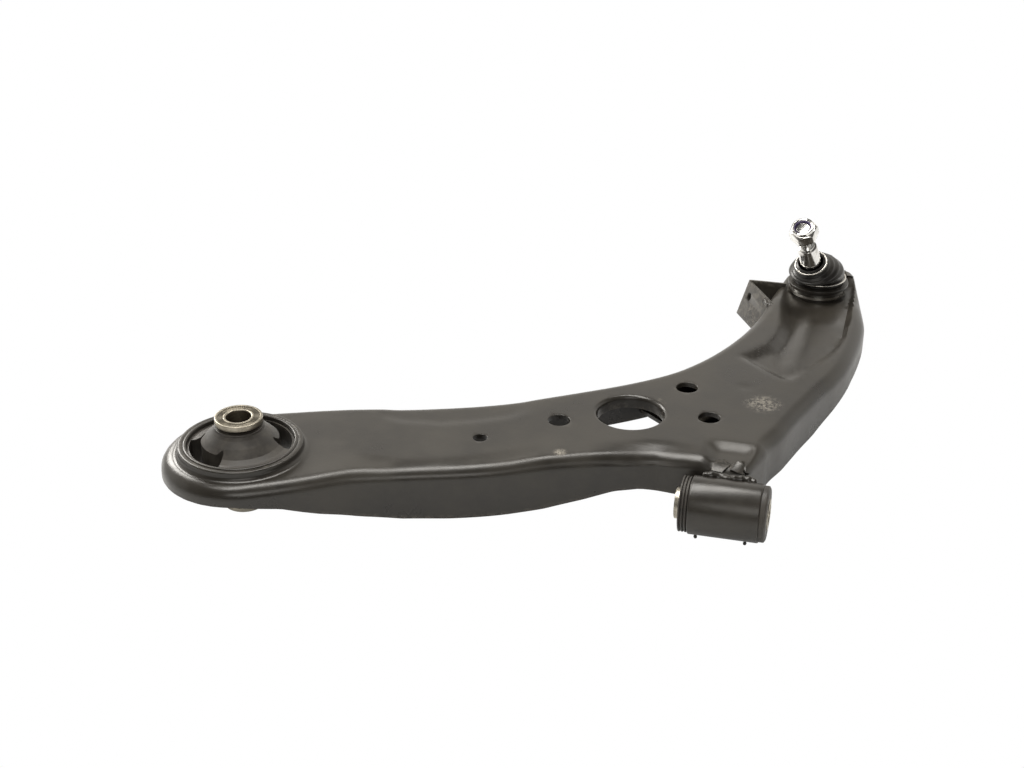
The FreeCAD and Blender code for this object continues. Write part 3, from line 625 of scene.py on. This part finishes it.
def shallow_steps(x, y):
    """Two shallow drops along the near and far edges of the long limb."""
    far = ease(-1.5, 2.5, y - follow(LENS_EDGE, x)) * ease(-214, -203, x) * (1 - ease(-137, -122, x))
    near = ease(-1.0, 7.0, follow(STEP_EDGE, x) - y) * ease(-212, -190, x) * (1 - ease(-130, -105, x))
    return -0.6 * far - 0.9 * near


def saddle(x, y):
    """Step down where the tongue meets the bush tube."""
    across = ease(-17.5, -11.5, x) * (1 - ease(6, 12.5, x))
    return -2.7 * across * (1 - ease(36, 44, y))


def head_slope(x, y):
    """Gentle fall of the top towards and around the ball joint."""
    crease = ease(246, 262, y)
    return -1.6 * crease


def dents(x, y):
    small = math.exp(-((x + 5.6) ** 2 + (y - 113.2) ** 2) / 9)
    nick = math.exp(-((x + 97.7) ** 2 + (y - 7) ** 2) / 6)
    return -0.45 * small - 0.35 * nick


def top_height(x, y):
    return channel(x, y) + shallow_steps(x, y) + saddle(x, y) + head_slope(x, y) + dents(x, y)


SKIRT_ROWS = 6
ROLL_ROWS = 10


def arm_blank():
    """Trimmed skirt, rolled edge and flat top, as one open sheet."""
    outline = arm_outline()
    count = len(outline)
    rows = SKIRT_ROWS + ROLL_ROWS
    deselect()
    bpy.ops.mesh.primitive_cylinder_add(vertices=count, radius=1, depth=2, end_fill_type="NOTHING")
    arm = added("arm_sheet")
    ends = [vertex.co.z for vertex in arm.data.vertices]
    select_where(arm, "EDGE", lambda edge: abs(ends[edge.vertices[0]] - ends[edge.vertices[1]]) > 1)
    bpy.ops.mesh.subdivide(number_cuts=rows - 1)
    bpy.ops.object.mode_set(mode="OBJECT")
    for vertex in arm.data.vertices:
        column = round(math.atan2(vertex.co.y, vertex.co.x) / (2 * math.pi) * count) % count
        row = round((vertex.co.z + 1) / 2 * rows)
        here = outline[column]
        along = (outline[(column + 1) % count] - outline[column - 1]).normalized()
        inward = UP.cross(along)
        if row <= SKIRT_ROWS:
            share = row / SKIRT_ROWS
            depth = skirt_depth(here) * (1 - share) + ROLL * share
            vertex.co = (here + UP * (TOP - depth)) * MM
        else:
            turn = math.radians(90 * (row - SKIRT_ROWS) / ROLL_ROWS)
            inset = inward * ROLL * (1 - math.cos(turn))
            vertex.co = (here + inset + UP * (TOP - ROLL + ROLL * math.sin(turn))) * MM
    top_edge = TOP * MM - 1e-6
    points = arm.data.vertices
    select_where(arm, "EDGE", lambda edge: all(points[i].co.z > top_edge for i in edge.vertices))
    bpy.ops.mesh.edge_face_add()
    bpy.ops.object.mode_set(mode="OBJECT")
    return arm, outline


def divide_top(arm, spacing=3.2):
    """Cut the flat top into a grid, so that it can be shaped."""
    select_where(arm, "FACE", lambda face: len(face.vertices) > 6)
    bpy.ops.mesh.hide(unselected=True)
    low = Vector(PRESSING_LOW)
    high = Vector(PRESSING_HIGH)
    for axis, normal in ((0, (1, 0, 0)), (1, (0, 1, 0))):
        count = int((high[axis] - low[axis]) / (spacing * MM))
        for step in range(1, count):
            place = [0, 0, 0]
            place[axis] = low[axis] + step * spacing * MM
            bpy.ops.mesh.select_all(action="SELECT")
            bpy.ops.mesh.bisect(plane_co=place, plane_no=normal)
    bpy.ops.mesh.reveal()
    bpy.ops.object.mode_set(mode="OBJECT")


def shape_top(arm, outline):
    """Press the channel, steps and saddle into the top and its rolled edge."""
    rim = kdtree.KDTree(len(outline))
    for index, point in enumerate(outline):
        rim.insert(point, index)
    rim.balance()

    def pressed(point):
        share = (point.z - TOP + ROLL) / ROLL
        if share <= 0:
            return point
        height = top_height(point.x, point.y) * min(share, 1.0)
        inward = rim.find(Vector((point.x, point.y, 0)))[2]
        waist = math.exp(-((point.x + 47) / 22) ** 2) * (1 - ease(30, 45, point.y))
        height -= 2.2 * waist * (1 - ease(5, 17, inward)) * ease(0, 0.5, share)
        return point.x, point.y, point.z + height

    move_points(arm, pressed)


def hole_tool(centre, radius, flare, low, high):
    """Cutter for a round hole whose upper edge is rolled by flare."""
    corners = [(0, low, 0), (radius, low, 0)]
    for step in range(9):
        turn = math.radians(90 * step / 8)
        corners.append((radius + flare * (1 - math.cos(turn)), high - flare + flare * math.sin(turn), 0))
    corners += [(radius + flare + 2, high + 0.01, 0), (radius + flare + 2, high + 9, 0), (0, high + 9, 0)]
    return turned_piece("hole_tool", corners, (centre[0], centre[1], 0), UP, 72)


def arm_holes():
    """A separate tool for every round cut in the pressing."""
    low = TOP - 60
    big = (-0.245 * LENGTH, 0.228 * REACH)
    small = [
        (-0.387 * LENGTH, 0.155 * REACH),
        (-0.145 * LENGTH, 0.369 * REACH),
        (-0.076 * LENGTH, 0.246 * REACH),
    ]
    tools = [hole_tool(big, 20.0, 2.6, low, TOP + 0.02)]
    tools += [hole_tool(centre, 6.6, 0.5, low, TOP + 0.02) for centre in small]
    tools.append(hole_tool((-0.531 * LENGTH, 0.041 * REACH), 4.2, 0.4, low, TOP + 0.02))
    tools.append(hole_tool(REAR, 33.0, 0.4, low, TOP + COLLAR_HEIGHT))
    tools.append(hole_tool(BALL, 18.0, 0.3, low, TOP))
    half = TUBE_HALF + 0.02
    tube = [(0, -half, 0), (TUBE_RADIUS, -half, 0), (TUBE_RADIUS, half, 0), (0, half, 0)]
    tools.append(turned_piece("tube_room", tube, (0, 0, 0), RIGHT, 72))
    left = [(0, 0, 0), (17.2, 0, 0), (17.2, 9.7, 0), (0, 9.7, 0)]
    tools.append(turned_piece("left_room", left, (-half - 9.7, 0, 0), RIGHT, 72))
    right = [(0, 0, 0), (17.2, 0, 0), (17.2, 5.6, 0), (0, 5.6, 0)]
    tools.append(turned_piece("right_room", right, (half, 0, 0), RIGHT, 72))
    return tools


def arm_collars():
    """Drawn collar round the rear bush and drawn lip of the big hole."""
    outer = 36.0
    foot = [(outer + 3.4, TOP - 1.2, 0)]
    for step in range(9):
        turn = math.radians(78 * step / 8)
        foot.append((outer + 3.0 - 3.0 * math.sin(turn), TOP + 3.0 * (1 - math.cos(turn)), 0))
    rim = TOP + COLLAR_HEIGHT - 0.05
    collar = foot + [(outer, TOP + 3.2, 0), (outer, rim, 1.2), (32.0, rim, 0.3), (32.0, TOP - 2.5, 0),
                     (outer + 3.4, TOP - 2.5, 0)]
    lip = [(19.0, TOP - 8, 0.3), (23.0, TOP - 8, 0.8), (23.0, TOP - 2.4, 0), (19.0, TOP - 2.4, 0)]
    return [
        turned_piece("rear_collar", collar, (REAR.x, REAR.y, 0), UP, 96),
        turned_piece("hole_lip", lip, (-0.245 * LENGTH, 0.228 * REACH, 0), UP, 72),
    ]


def stamped_arm():
    arm, outline = arm_blank()
    divide_top(arm)
    shape_top(arm, outline)
    mend(arm)
    if sum(face.normal.z * face.area for face in arm.data.polygons) < 0:
        arm.data.flip_normals()
    apply_modifier(arm, "sheet", "SOLIDIFY", thickness=SHEET * MM, offset=-1)
    for tool in arm_collars():
        carve(arm, tool, "UNION", "MANIFOLD")
    for tool in arm_holes():
        carve(arm, tool, "DIFFERENCE", "MANIFOLD")
    smooth(arm, 38)
    return finished(arm, ECOAT, "e_coat", "arm", "arm_pressing")


stamped_arm()


# ----------------------------------------------------------------- rear bush

SLEEVE_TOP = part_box("rear_inner_sleeve")[1][2] / MM
SLEEVE_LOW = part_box("rear_inner_sleeve")[0][2] / MM
CAN_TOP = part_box("rear_bush_can")[1][2] / MM
CAN_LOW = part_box("rear_bush_can")[0][2] / MM
REAR_BASE = (REAR.x, REAR.y, 0)


def rear_can():
    corners = [
        (31.0, CAN_LOW, 0.5), (33.0, CAN_LOW, 0.8), (33.0, CAN_TOP, 0.9),
        (30.9, CAN_TOP, 0.8), (30.9, CAN_TOP - 2.2, 0.3), (31.0, CAN_TOP - 2.6, 0),
    ]
    can = turned_piece("rear_can", corners, REAR_BASE, UP, 128)
    smooth(can, 40)
    finished(can, ECOAT, "e_coat", "arm", "rear_bush_can")


def kidney_tool(angle):
    """Cutter for one of the rubber's voids, with hooked round ends."""
    deselect()
    bpy.ops.mesh.primitive_circle_add(vertices=64, fill_type="NGON")
    tool = added("void_tool")
    for index, vertex in enumerate(tool.data.vertices):
        share = index / 32
        side, along = (0, share) if share < 1 else (1, 2 - share)
        sweep = angle - 40 + 80 * (along * 32 / 31 if side == 0 else (along * 32 - 1) / 31)
        hook = 2.6 * math.exp(-((abs(sweep - angle) - 37) / 5) ** 2)
        radius = 22.3 - hook if side == 0 else 29.4
        vertex.co = (Vector(REAR_BASE) + flat(radius, sweep) + UP * (CAN_LOW - 3)) * MM
    bpy.ops.object.mode_set(mode="EDIT")
    bpy.ops.mesh.select_all(action="SELECT")
    rise = {"value": (0, 0, (CAN_TOP - CAN_LOW + 12) * MM)}
    bpy.ops.mesh.extrude_region_move(TRANSFORM_OT_translate=rise)
    bpy.ops.object.mode_set(mode="OBJECT")
    mend(tool)
    return tool


def rear_rubber():
    """Bell of rubber from the sleeve out to the can, with two voids."""
    corners = [
        (10.9, SLEEVE_LOW + 4.6, 0.4), (12.2, SLEEVE_LOW + 4.6, 0.6), (17.5, CAN_LOW + 1.2, 3.0),
        (30.9, CAN_LOW + 1.2, 0.8), (30.9, CAN_TOP - 2.4, 0.4), (26.5, CAN_TOP - 1.6, 2.0),
        (23.5, CAN_TOP + 0.2, 2.5), (19.4, CAN_TOP + 4.4, 3.5), (15.6, SLEEVE_TOP - 8.2, 2.0),
        (14.2, SLEEVE_TOP - 6.6, 0.5), (14.2, SLEEVE_TOP - 5.2, 0.5), (10.9, SLEEVE_TOP - 5.0, 0.3),
    ]
    rubber = turned_piece("rear_rubber", corners, REAR_BASE, UP, 128, 6)
    for angle in (41.5, 226.5):
        carve(rubber, kidney_tool(angle))
    smooth(rubber, 42)
    finished(rubber, BUSH_RUBBER, "bush_rubber", "arm", "rear_bush_rubber")


def rear_sleeve():
    """Steel sleeve whose flanged top has radial serrations."""
    corners = [
        (7.2, SLEEVE_LOW, 0.7), (12.2, SLEEVE_LOW, 0.6), (12.2, SLEEVE_LOW + 2.5, 0.5),
        (10.8, SLEEVE_LOW + 3.5, 0.8), (10.8, SLEEVE_TOP - 4.6, 1.0), (13.8, SLEEVE_TOP - 3.2, 0.5),
        (13.8, SLEEVE_TOP, 0.9), (12.4, SLEEVE_TOP, 0.2), (12.0, SLEEVE_TOP - 0.45, 0),
        (9.0, SLEEVE_TOP - 0.45, 0), (8.7, SLEEVE_TOP, 0.3), (7.2, SLEEVE_TOP, 0.9),
    ]
    sleeve = turned_piece("rear_sleeve", corners, REAR_BASE, UP, 180)
    low = SLEEVE_TOP - 0.5
    high = SLEEVE_TOP - 0.3

    def serrated(point):
        away = Vector((point.x - REAR.x, point.y - REAR.y))
        if not (low < point.z < high and 8.8 < away.length < 12.2):
            return point
        ridge = math.cos(60 * math.atan2(away.y, away.x))
        return point.x, point.y, point.z + 0.28 * ridge

    move_points(sleeve, serrated)
    smooth(sleeve, 30)
    finished(sleeve, REAR_STEEL, "phosphated_steel", "rear_sleeve", "rear_inner_sleeve")


rear_can()
rear_rubber()
rear_sleeve()


# ---------------------------------------------------------------- front bush

RUBBER_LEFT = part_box("front_bush_rubber")[0][0] / MM
RUBBER_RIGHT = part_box("front_bush_rubber")[1][0] / MM
FRONT_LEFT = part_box("front_inner_sleeve")[0][0] / MM
FRONT_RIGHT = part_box("front_inner_sleeve")[1][0] / MM
PEG_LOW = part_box("front_bush_tube")[0][2] / MM


def front_tube():
    inner = TUBE_RADIUS - 3.0
    corners = [
        (inner, -TUBE_HALF, 0.4), (TUBE_RADIUS, -TUBE_HALF, 0.9),
        (TUBE_RADIUS, TUBE_HALF, 0.9), (inner, TUBE_HALF, 0.4),
    ]
    tube = turned_piece("front_tube", corners, (0, 0, 0), RIGHT, 128)
    pegs = []
    for x, lean in ((-16.0, 0.35), (12.5, -0.25)):
        peg = [
            (0, 0, 0), (0.8, 0.0, 0.3), (1.1, 1.0, 0.4), (0.75, 1.9, 0.3),
            (1.15, 3.2, 0.3), (0, 3.2, 0),
        ]
        centre = (x + lean, -5.0, PEG_LOW)
        pegs.append(turned_piece("peg", peg, centre, Vector((-lean * 0.3, 0, 1)), 16))
    tube = joined("front_tube", [tube] + pegs)
    smooth(tube, 40)
    finished(tube, ECOAT, "e_coat", "arm", "front_bush_tube")


def front_rubber():
    """Rubber with a ribbed flange on the left and a plain one on the right."""
    bonded = 12.55
    rib = (-TUBE_HALF - RUBBER_LEFT) / 3
    corners = [(9.05, RUBBER_LEFT, 0.3), (13.6, RUBBER_LEFT, 0.8)]
    for count in range(3):
        start = RUBBER_LEFT + rib * count
        corners += [(16.0, start + 0.10 * rib, 0.45), (16.0, start + 0.62 * rib, 0.45)]
        corners += [(14.9, start + 0.74 * rib, 0.2), (14.9, start + 0.98 * rib, 0.2)]
    corners[-1] = (14.9, -TUBE_HALF, 0)
    corners += [
        (bonded, -TUBE_HALF, 0), (bonded, TUBE_HALF, 0), (16.0, TUBE_HALF, 0.2),
        (16.0, RUBBER_RIGHT - 0.9, 0.5), (14.6, RUBBER_RIGHT, 0.8), (9.05, RUBBER_RIGHT, 0.3),
    ]
    rubber = turned_piece("front_rubber", corners, (0, 0, 0), RIGHT, 128)
    smooth(rubber, 40)
    finished(rubber, BUSH_RUBBER, "bush_rubber", "arm", "front_bush_rubber")


def front_sleeve():
    corners = [
        (6.15, FRONT_LEFT, 0.6), (9.0, FRONT_LEFT, 0.5),
        (9.0, FRONT_RIGHT, 0.5), (6.15, FRONT_RIGHT, 0.6),
    ]
    sleeve = turned_piece("front_sleeve", corners, (0, 0, 0), RIGHT, 96)
    smooth(sleeve, 40)
    finished(sleeve, FRONT_STEEL, "phosphated_steel", "front_sleeve", "front_inner_sleeve")


def weld_bead(name, path, radius, ripple, body_node):
    """Lumpy bead along a line of points, closed and rounded at both ends."""
    deselect()
    bpy.ops.mesh.primitive_cylinder_add(vertices=20, radius=1, depth=2)
    bead = added(name)
    select_where(bead, "EDGE", lambda edge: abs(
        bead.data.vertices[edge.vertices[0]].co.z - bead.data.vertices[edge.vertices[1]].co.z) > 1)
    bpy.ops.mesh.subdivide(number_cuts=47)
    bpy.ops.object.mode_set(mode="OBJECT")
    ends = [Vector(point) for point in path]
    for vertex in bead.data.vertices:
        share = (vertex.co.z + 1) / 2
        index = min(int(share * (len(ends) - 1)), len(ends) - 2)
        local = share * (len(ends) - 1) - index
        centre = ends[index].lerp(ends[index + 1], local)
        along = (ends[index + 1] - ends[index]).normalized()
        side = along.cross(UP).normalized()
        rise = side.cross(along)
        cap = math.sqrt(max(0.02, 1 - (2 * share - 1) ** 12))
        wave = 1 + 0.10 * math.sin(ripple * share * 6.283 + 1.3 * math.sin(9 * share))
        wave += 0.14 * math.sin(11.0 * share + 2 * vertex.co.x)
        offset = side * vertex.co.x + rise * vertex.co.y
        vertex.co = (centre + offset * radius * cap * wave) * MM
    smooth(bead, 60)
    return finished(bead, ECOAT, "e_coat", "arm", body_node)


def front_weld():
    """Bead along the tongue's end, thicker at its right."""
    path = []
    for step in range(9):
        x = -15.5 + 31.0 * step / 8
        rise = 57 + 3 * math.sin(step * 1.7)
        out = TUBE_RADIUS + 0.4
        turn = math.radians(rise)
        path.append((x, out * math.cos(turn), out * math.sin(turn)))
    weld_bead("front_weld", path, 2.5, 6, "front_tube_weld")


front_tube()
front_rubber()
front_sleeve()
front_weld()


# ---------------------------------------------------------------- ball joint

BALL_TOP = TOP - BALL.z
FOOT = Vector((BALL.x, BALL.y, TOP))


def housing():
    """Forged cup with a flange on the arm and a collar for the boot."""
    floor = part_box("ball_joint_housing")[0][2] / MM - BALL.z
    collar = BALL_TOP + 6.6
    corners = [
        (14.4, floor + 1.8, 0), (12.4, floor + 1.8, 0), (12.4, floor, 0.4), (16.6, floor, 0.6),
        (18.0, floor + 3.0, 0.8), (18.0, BALL_TOP - 4.8, 0), (17.0, BALL_TOP - 4.8, 0),
        (17.0, BALL_TOP - 3.0, 0), (18.0, BALL_TOP - 3.0, 0), (18.0, BALL_TOP, 0),
        (20.6, BALL_TOP, 0.4), (20.6, BALL_TOP + 2.2, 0.7), (15.6, BALL_TOP + 2.2, 0.6),
        (15.6, collar, 0.25), (14.1, collar, 0.2), (10.5, 7.0, 0.2), (14.4, 7.0, 0),
    ]
    cup = turned_piece("housing", corners, BALL, UP, 128)
    smooth(cup, 35)
    finished(cup, ECOAT, "e_coat", "arm", "ball_joint_housing")


def stud():
    """Ball, waisted neck, shank and thread in one piece."""
    corners = [(0, -12.0, 0)]
    for step in range(1, 26):
        turn = math.radians(-90 + 156 * step / 26)
        corners.append((12.0 * math.cos(turn), 12.0 * math.sin(turn), 0))
    corners += [
        (4.9, 12.6, 1.2), (4.9, 17.5, 1.5), (7.25, 20.0, 0.8), (7.25, 32.0, 1.0), (6.35, 47.0, 0.6),
        (5.0, 47.5, 0.2),
    ]
    pitch = 1.25
    count = int((66.0 - 48.2) / pitch)
    for turn in range(count):
        start = 48.2 + turn * pitch
        corners += [(4.98, start, 0.08), (4.98, start + 0.2 * pitch, 0.08)]
        corners += [(4.25, start + 0.5 * pitch, 0.1), (4.25, start + 0.65 * pitch, 0.1)]
    corners += [(4.9, 66.0 - 0.6, 0.1), (4.2, 66.4, 0.3), (0, 66.4, 0)]
    piece = turned_piece("stud", corners, BALL, STUD, 72, 2)
    smooth(piece, 35)
    finished(piece, ZINC, "bright_zinc", "stud", "ball_stud")


def nut():
    """Hexagon nut with chamfered ends and a crimped round collar."""
    deselect()
    across = 17.0 / math.sqrt(3)
    bpy.ops.mesh.primitive_cylinder_add(vertices=6, radius=across * MM, depth=7.6 * MM)
    body = added("nut")
    body.data.transform(Matrix.Translation((0, 0, 3.8 * MM)) @ Matrix.Rotation(math.radians(45), 4, "Z"))
    dome = [
        (0, 0, 0), (across - 1.0, 0, 0), (across + 0.3, 0.75, 0), (across + 0.3, 6.0, 0),
        (across - 1.9, 7.6, 0), (0, 7.6, 0),
    ]
    tool = turned_piece("nut_dome", dome, (0, 0, 0), UP, 96)
    carve(body, tool, "INTERSECT")
    collar = [
        (0, 1, 0), (7.7, 1, 0), (7.7, 9.2, 0), (7.5, 9.8, 0.4), (6.6, 10.0, 0.4), (5.9, 9.75, 0.2),
        (5.7, 9.3, 0), (0, 9.3, 0),
    ]
    carve(body, turned_piece("nut_collar", collar, (0, 0, 0), UP, 96), "UNION")
    bore = [(0, -1, 0), (5.9, -1, 0), (5.06, 0.5, 0), (5.06, 7.0, 0), (6.6, 7.0, 0), (6.6, 9.4, 0),
            (5.7, 9.4, 0), (5.7, 11, 0), (0, 11, 0)]
    carve(body, turned_piece("nut_bore", bore, (0, 0, 0), UP, 96))
    apply_modifier(body, "edges", "BEVEL", width=0.22 * MM, segments=2, limit_method="ANGLE",
                   angle_limit=math.radians(28))
    body.data.transform(aim(BALL + STUD * 58.0, STUD))
    smooth(body, 32)
    finished(body, ZINC, "bright_zinc", "nut", "lock_nut")
    eye = [(5.05, 7.05, 0.2), (6.55, 7.05, 0.1), (6.55, 9.35, 0.1), (5.6, 9.35, 0.5), (5.05, 8.9, 0.4)]
    ring = turned_piece("nut_eye", eye, BALL + STUD * 58.0, STUD, 72)
    smooth(ring, 40)
    finished(ring, NYLON, "nylon", "nut", "nut_nylon_insert")


BOOT_LINE = [
    (0.00, 17.3), (0.06, 17.3), (0.12, 16.9), (0.20, 17.6), (0.32, 18.5), (0.46, 18.6),
    (0.60, 17.0), (0.72, 14.4), (0.82, 11.9), (0.88, 10.7), (0.93, 9.7), (0.97, 9.5), (1.00, 9.9),
]


def boot():
    """Rubber bell from the housing's collar up to the leaning stud."""
    rings = 60
    deselect()
    bpy.ops.mesh.primitive_cylinder_add(vertices=96, radius=1, depth=2, end_fill_type="NOTHING")
    bell = added("boot")
    ends = bell.data.vertices
    select_where(bell, "EDGE", lambda edge: abs(
        ends[edge.vertices[0]].co.z - ends[edge.vertices[1]].co.z) > 1)
    bpy.ops.mesh.subdivide(number_cuts=rings - 1)
    bpy.ops.object.mode_set(mode="OBJECT")
    foot = FOOT + UP * 2.6
    lip = BALL + STUD * 31.0
    first = foot + UP * 9.0
    last = lip - STUD * 9.0
    for vertex in bell.data.vertices:
        share = (vertex.co.z + 1) / 2
        centre = foot.lerp(first, share).lerp(first.lerp(last, share), share)
        centre = centre.lerp(first.lerp(last, share).lerp(last.lerp(lip, share), share), share)
        axis = UP.slerp(STUD, ease(0.05, 0.95, share))
        turn = UP.rotation_difference(axis)
        spoke = turn @ Vector((vertex.co.x, vertex.co.y, 0))
        low = [pair for pair in BOOT_LINE if pair[0] <= share][-1]
        high = ([pair for pair in BOOT_LINE if pair[0] > share] or [low])[0]
        span = (high[0] - low[0]) or 1
        radius = low[1] + (high[1] - low[1]) * ease(0, 1, (share - low[0]) / span)
        vertex.co = (centre + spoke * radius) * MM
    mend(bell)
    apply_modifier(bell, "round", "SUBSURF", levels=1, render_levels=1)
    apply_modifier(bell, "wall", "SOLIDIFY", thickness=1.3 * MM, offset=-1, use_even_offset=True)
    smooth(bell, 50)
    bell.data.materials.clear()
    bell.data.materials.append(BOOT_RUBBER)
    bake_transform(bell)
    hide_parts("dust_boot")


def wire_ring(name, radius, centre, axis, body, node, gap_turn):
    """Spring wire ring whose two ends lap side by side."""
    deselect()
    bpy.ops.mesh.primitive_torus_add(
        major_radius=radius * MM, minor_radius=0.62 * MM, major_segments=120, minor_segments=14)
    ring = added(name)

    def lapped(point):
        turn = math.degrees(math.atan2(point.y, point.x)) % 360
        lap = math.exp(-((turn - 180) / 14) ** 2)
        return point.x, point.y, point.z + 0.14 * lap

    move_points(ring, lapped)
    ring.data.transform(aim(centre, axis, gap_turn))
    smooth(ring, 60)
    finished(ring, WIRE, "ring_wire", body, node)


housing()
stud()
nut()
boot()
wire_ring("upper_ring", 10.6, BALL + STUD * 30.0, STUD, "boot_ring", "boot_top_ring", 40)
wire_ring("lower_ring", 18.2, FOOT + UP * 5.4, UP, "arm", "boot_bottom_ring", 150)


# ------------------------------------------------------------------- bracket

def bracket():
    """Folded lug on the head's left side, leaning outwards at its foot."""
    bend = Vector((HEAD_LEFT - 17.0, REACH - 6.0, 0))
    front = Vector((HEAD_LEFT + 8, bend.y - 43.0, 0))
    back = Vector((HEAD_LEFT + 10, bend.y + 0.5, 0))
    leaf = (front - bend).normalized()
    wall = (back - bend).normalized()
    line = [front]
    for step in range(7):
        share = step / 6
        near = bend + leaf * 3.0
        past = bend + wall * 3.0
        line.append(near.lerp(bend, share).lerp(bend.lerp(past, share), share))
    line.append(back)
    deselect()
    bpy.ops.mesh.primitive_grid_add(x_subdivisions=len(line) - 1, y_subdivisions=6, size=2)
    lug = added("bracket_lug")
    count = len(line)
    height = 24.4
    for index, vertex in enumerate(lug.data.vertices):
        point = line[index % count]
        share = (index // count) / (len(lug.data.vertices) / count - 1)
        lean = Vector((-7.0, -2.8, 0)) * share
        vertex.co = (point + lean + UP * (TOP - 0.2 - height * share)) * MM
    mend(lug)
    centre = Vector((HEAD_LEFT + 5, bend.y - 15, TOP - 10)) * MM
    facing = sum((face.center - centre).dot(face.normal) for face in lug.data.polygons)
    if facing < 0:
        lug.data.flip_normals()
    apply_modifier(lug, "sheet", "SOLIDIFY", thickness=2.0 * MM, offset=-1, use_even_offset=True)
    share = 9.0 / height
    start = bend + leaf * 10.0 + Vector((-7.0, -2.8, 0)) * share + UP * (TOP - 9.0)
    side = leaf.cross(UP).normalized()
    hole = [(0, -8, 0), (2.9, -8, 0), (2.9, 8, 0), (0, 8, 0)]
    carve(lug, turned_piece("lug_hole", hole, start, side, 48))
    apply_modifier(lug, "edges", "BEVEL", width=0.35 * MM, segments=2, limit_method="ANGLE",
                   angle_limit=math.radians(40))
    smooth(lug, 35)
    finished(lug, ECOAT, "e_coat", "arm", "bracket")
    top = UP * (TOP - 3.0)
    path = [bend + leaf * (front - bend).length * share + top for share in (0.60, 0.70, 0.80, 0.90)]
    weld_bead("lug_weld", path, 2.3, 4, "bracket_weld")


bracket()


# ------------------------------------------------------ carried-over CAD nodes

CARRIED = {
    "lower_reinforcement": ECOAT,
    "front_bush_outer_sleeve": FRONT_STEEL,
    "ball_seat": seat_polymer(),
    "seat_preload_ring": BOOT_RUBBER,
    "ball_joint_cover": COVER_STEEL,
    "housing_snap_ring": WIRE,
}
for node_name, finish in CARRIED.items():
    for slot in frame["nodes"][node_name].material_slots:
        slot.material = finish


# ------------------------------------------------------- floor, light, camera

def studio_floor():
    deselect()
    bpy.ops.mesh.primitive_plane_add(size=12, location=(0, 0, cad_box[0][2] - 0.0002))
    floor = added("studio_floor")
    f = Finish("floor_paper", Base_Color=colour(0.86, 0.86, 0.85), Roughness=0.9)
    path = f.tree.nodes.new("ShaderNodeLightPath")
    seen = Signal(f, path.outputs["Is Camera Ray"])
    glossy = Signal(f, path.outputs["Is Glossy Ray"])
    paper = f.node("ShaderNodeEmission", None, {"Color": colour(1, 1, 1), "Strength": 1.0})
    share = f.node("ShaderNodeMath", {"operation": "MAXIMUM"}, {0: 1.0 * seen, 1: 0.35 * glossy})
    lit = Signal(f, f.shader.outputs[0])
    mixed = f.node("ShaderNodeMixShader", None, {0: share, 1: lit, 2: paper})
    f.tree.links.new(mixed.socket, f.tree.nodes["Material Output"].inputs["Surface"])
    floor.data.materials.append(f.material)


def studio_sky():
    """White behind and beside the arm, dark above and behind the viewer."""
    world = bpy.data.worlds.new("studio_sky")
    bpy.context.scene.world = world
    world.use_nodes = True
    f = Finish.__new__(Finish)
    f.tree = world.node_tree
    f.tree.nodes.clear()
    way = f.node("ShaderNodeTexCoord", output="Generated")
    height = f.node("ShaderNodeSeparateXYZ", None, {0: way}, 2)
    turn = math.radians(104.5)
    ahead = (math.cos(turn), math.sin(turn), 0)
    back = f.node("ShaderNodeVectorMath", {"operation": "DOT_PRODUCT"}, {0: way, 1: ahead}, "Value")
    wall = (1 - f.band(height, 0.50, 0.72)) * f.band(back, -0.55, 0.25)
    white = 0.10 + 0.85 * wall
    path = f.tree.nodes.new("ShaderNodeLightPath")
    seen = Signal(f, path.outputs["Is Camera Ray"])
    strength = white * (1 - seen) + seen
    tint = colour(1.0, 0.965, 0.90)
    shade = f.blend(seen, tint, colour(1, 1, 1))
    light = f.node("ShaderNodeBackground", None, {"Color": shade, "Strength": strength})
    output = f.tree.nodes.new("ShaderNodeOutputWorld")
    f.tree.links.new(light.socket, output.inputs["Surface"])


def softbox(name, place, target, size, power, tint=(1, 0.97, 0.92)):
    """Rectangular lamp aimed at a point, all in millimetres."""
    lamp = bpy.data.lights.new(name, "AREA")
    lamp.shape = "RECTANGLE"
    lamp.size, lamp.size_y = size[0] * MM, size[1] * MM
    lamp.energy = power
    lamp.color = tint
    holder = bpy.data.objects.new(name, lamp)
    bpy.context.collection.objects.link(holder)
    way = (Vector(target) - Vector(place)).normalized()
    turn = way.to_track_quat("-Z", "Y").to_matrix().to_4x4()
    holder.matrix_world = Matrix.Translation(Vector(place) * MM) @ turn


def camera():
    lens = bpy.data.cameras.new("view")
    lens.sensor_width = 36.0
    lens.lens = 59.77
    lens.clip_start = 0.01
    holder = bpy.data.objects.new("view", lens)
    bpy.context.collection.objects.link(holder)
    holder.location = Vector((87.2, -818.1, 507.7)) * MM
    holder.rotation_euler = (math.radians(62.25), 0, math.radians(14.5))
    bpy.context.scene.camera = holder


studio_floor()
studio_sky()
softbox("overhead", (-250, 150, 900), (-100, 60, 0), (900, 260), 9.0)
softbox("left_back", (-900, 500, 500), (-200, 0, 0), (300, 500), 7.0)
softbox("front_fill", (200, -1200, 900), (-50, 50, 0), (900, 500), 5.0)
camera()
bpy.context.scene.view_settings.view_transform = "Standard"
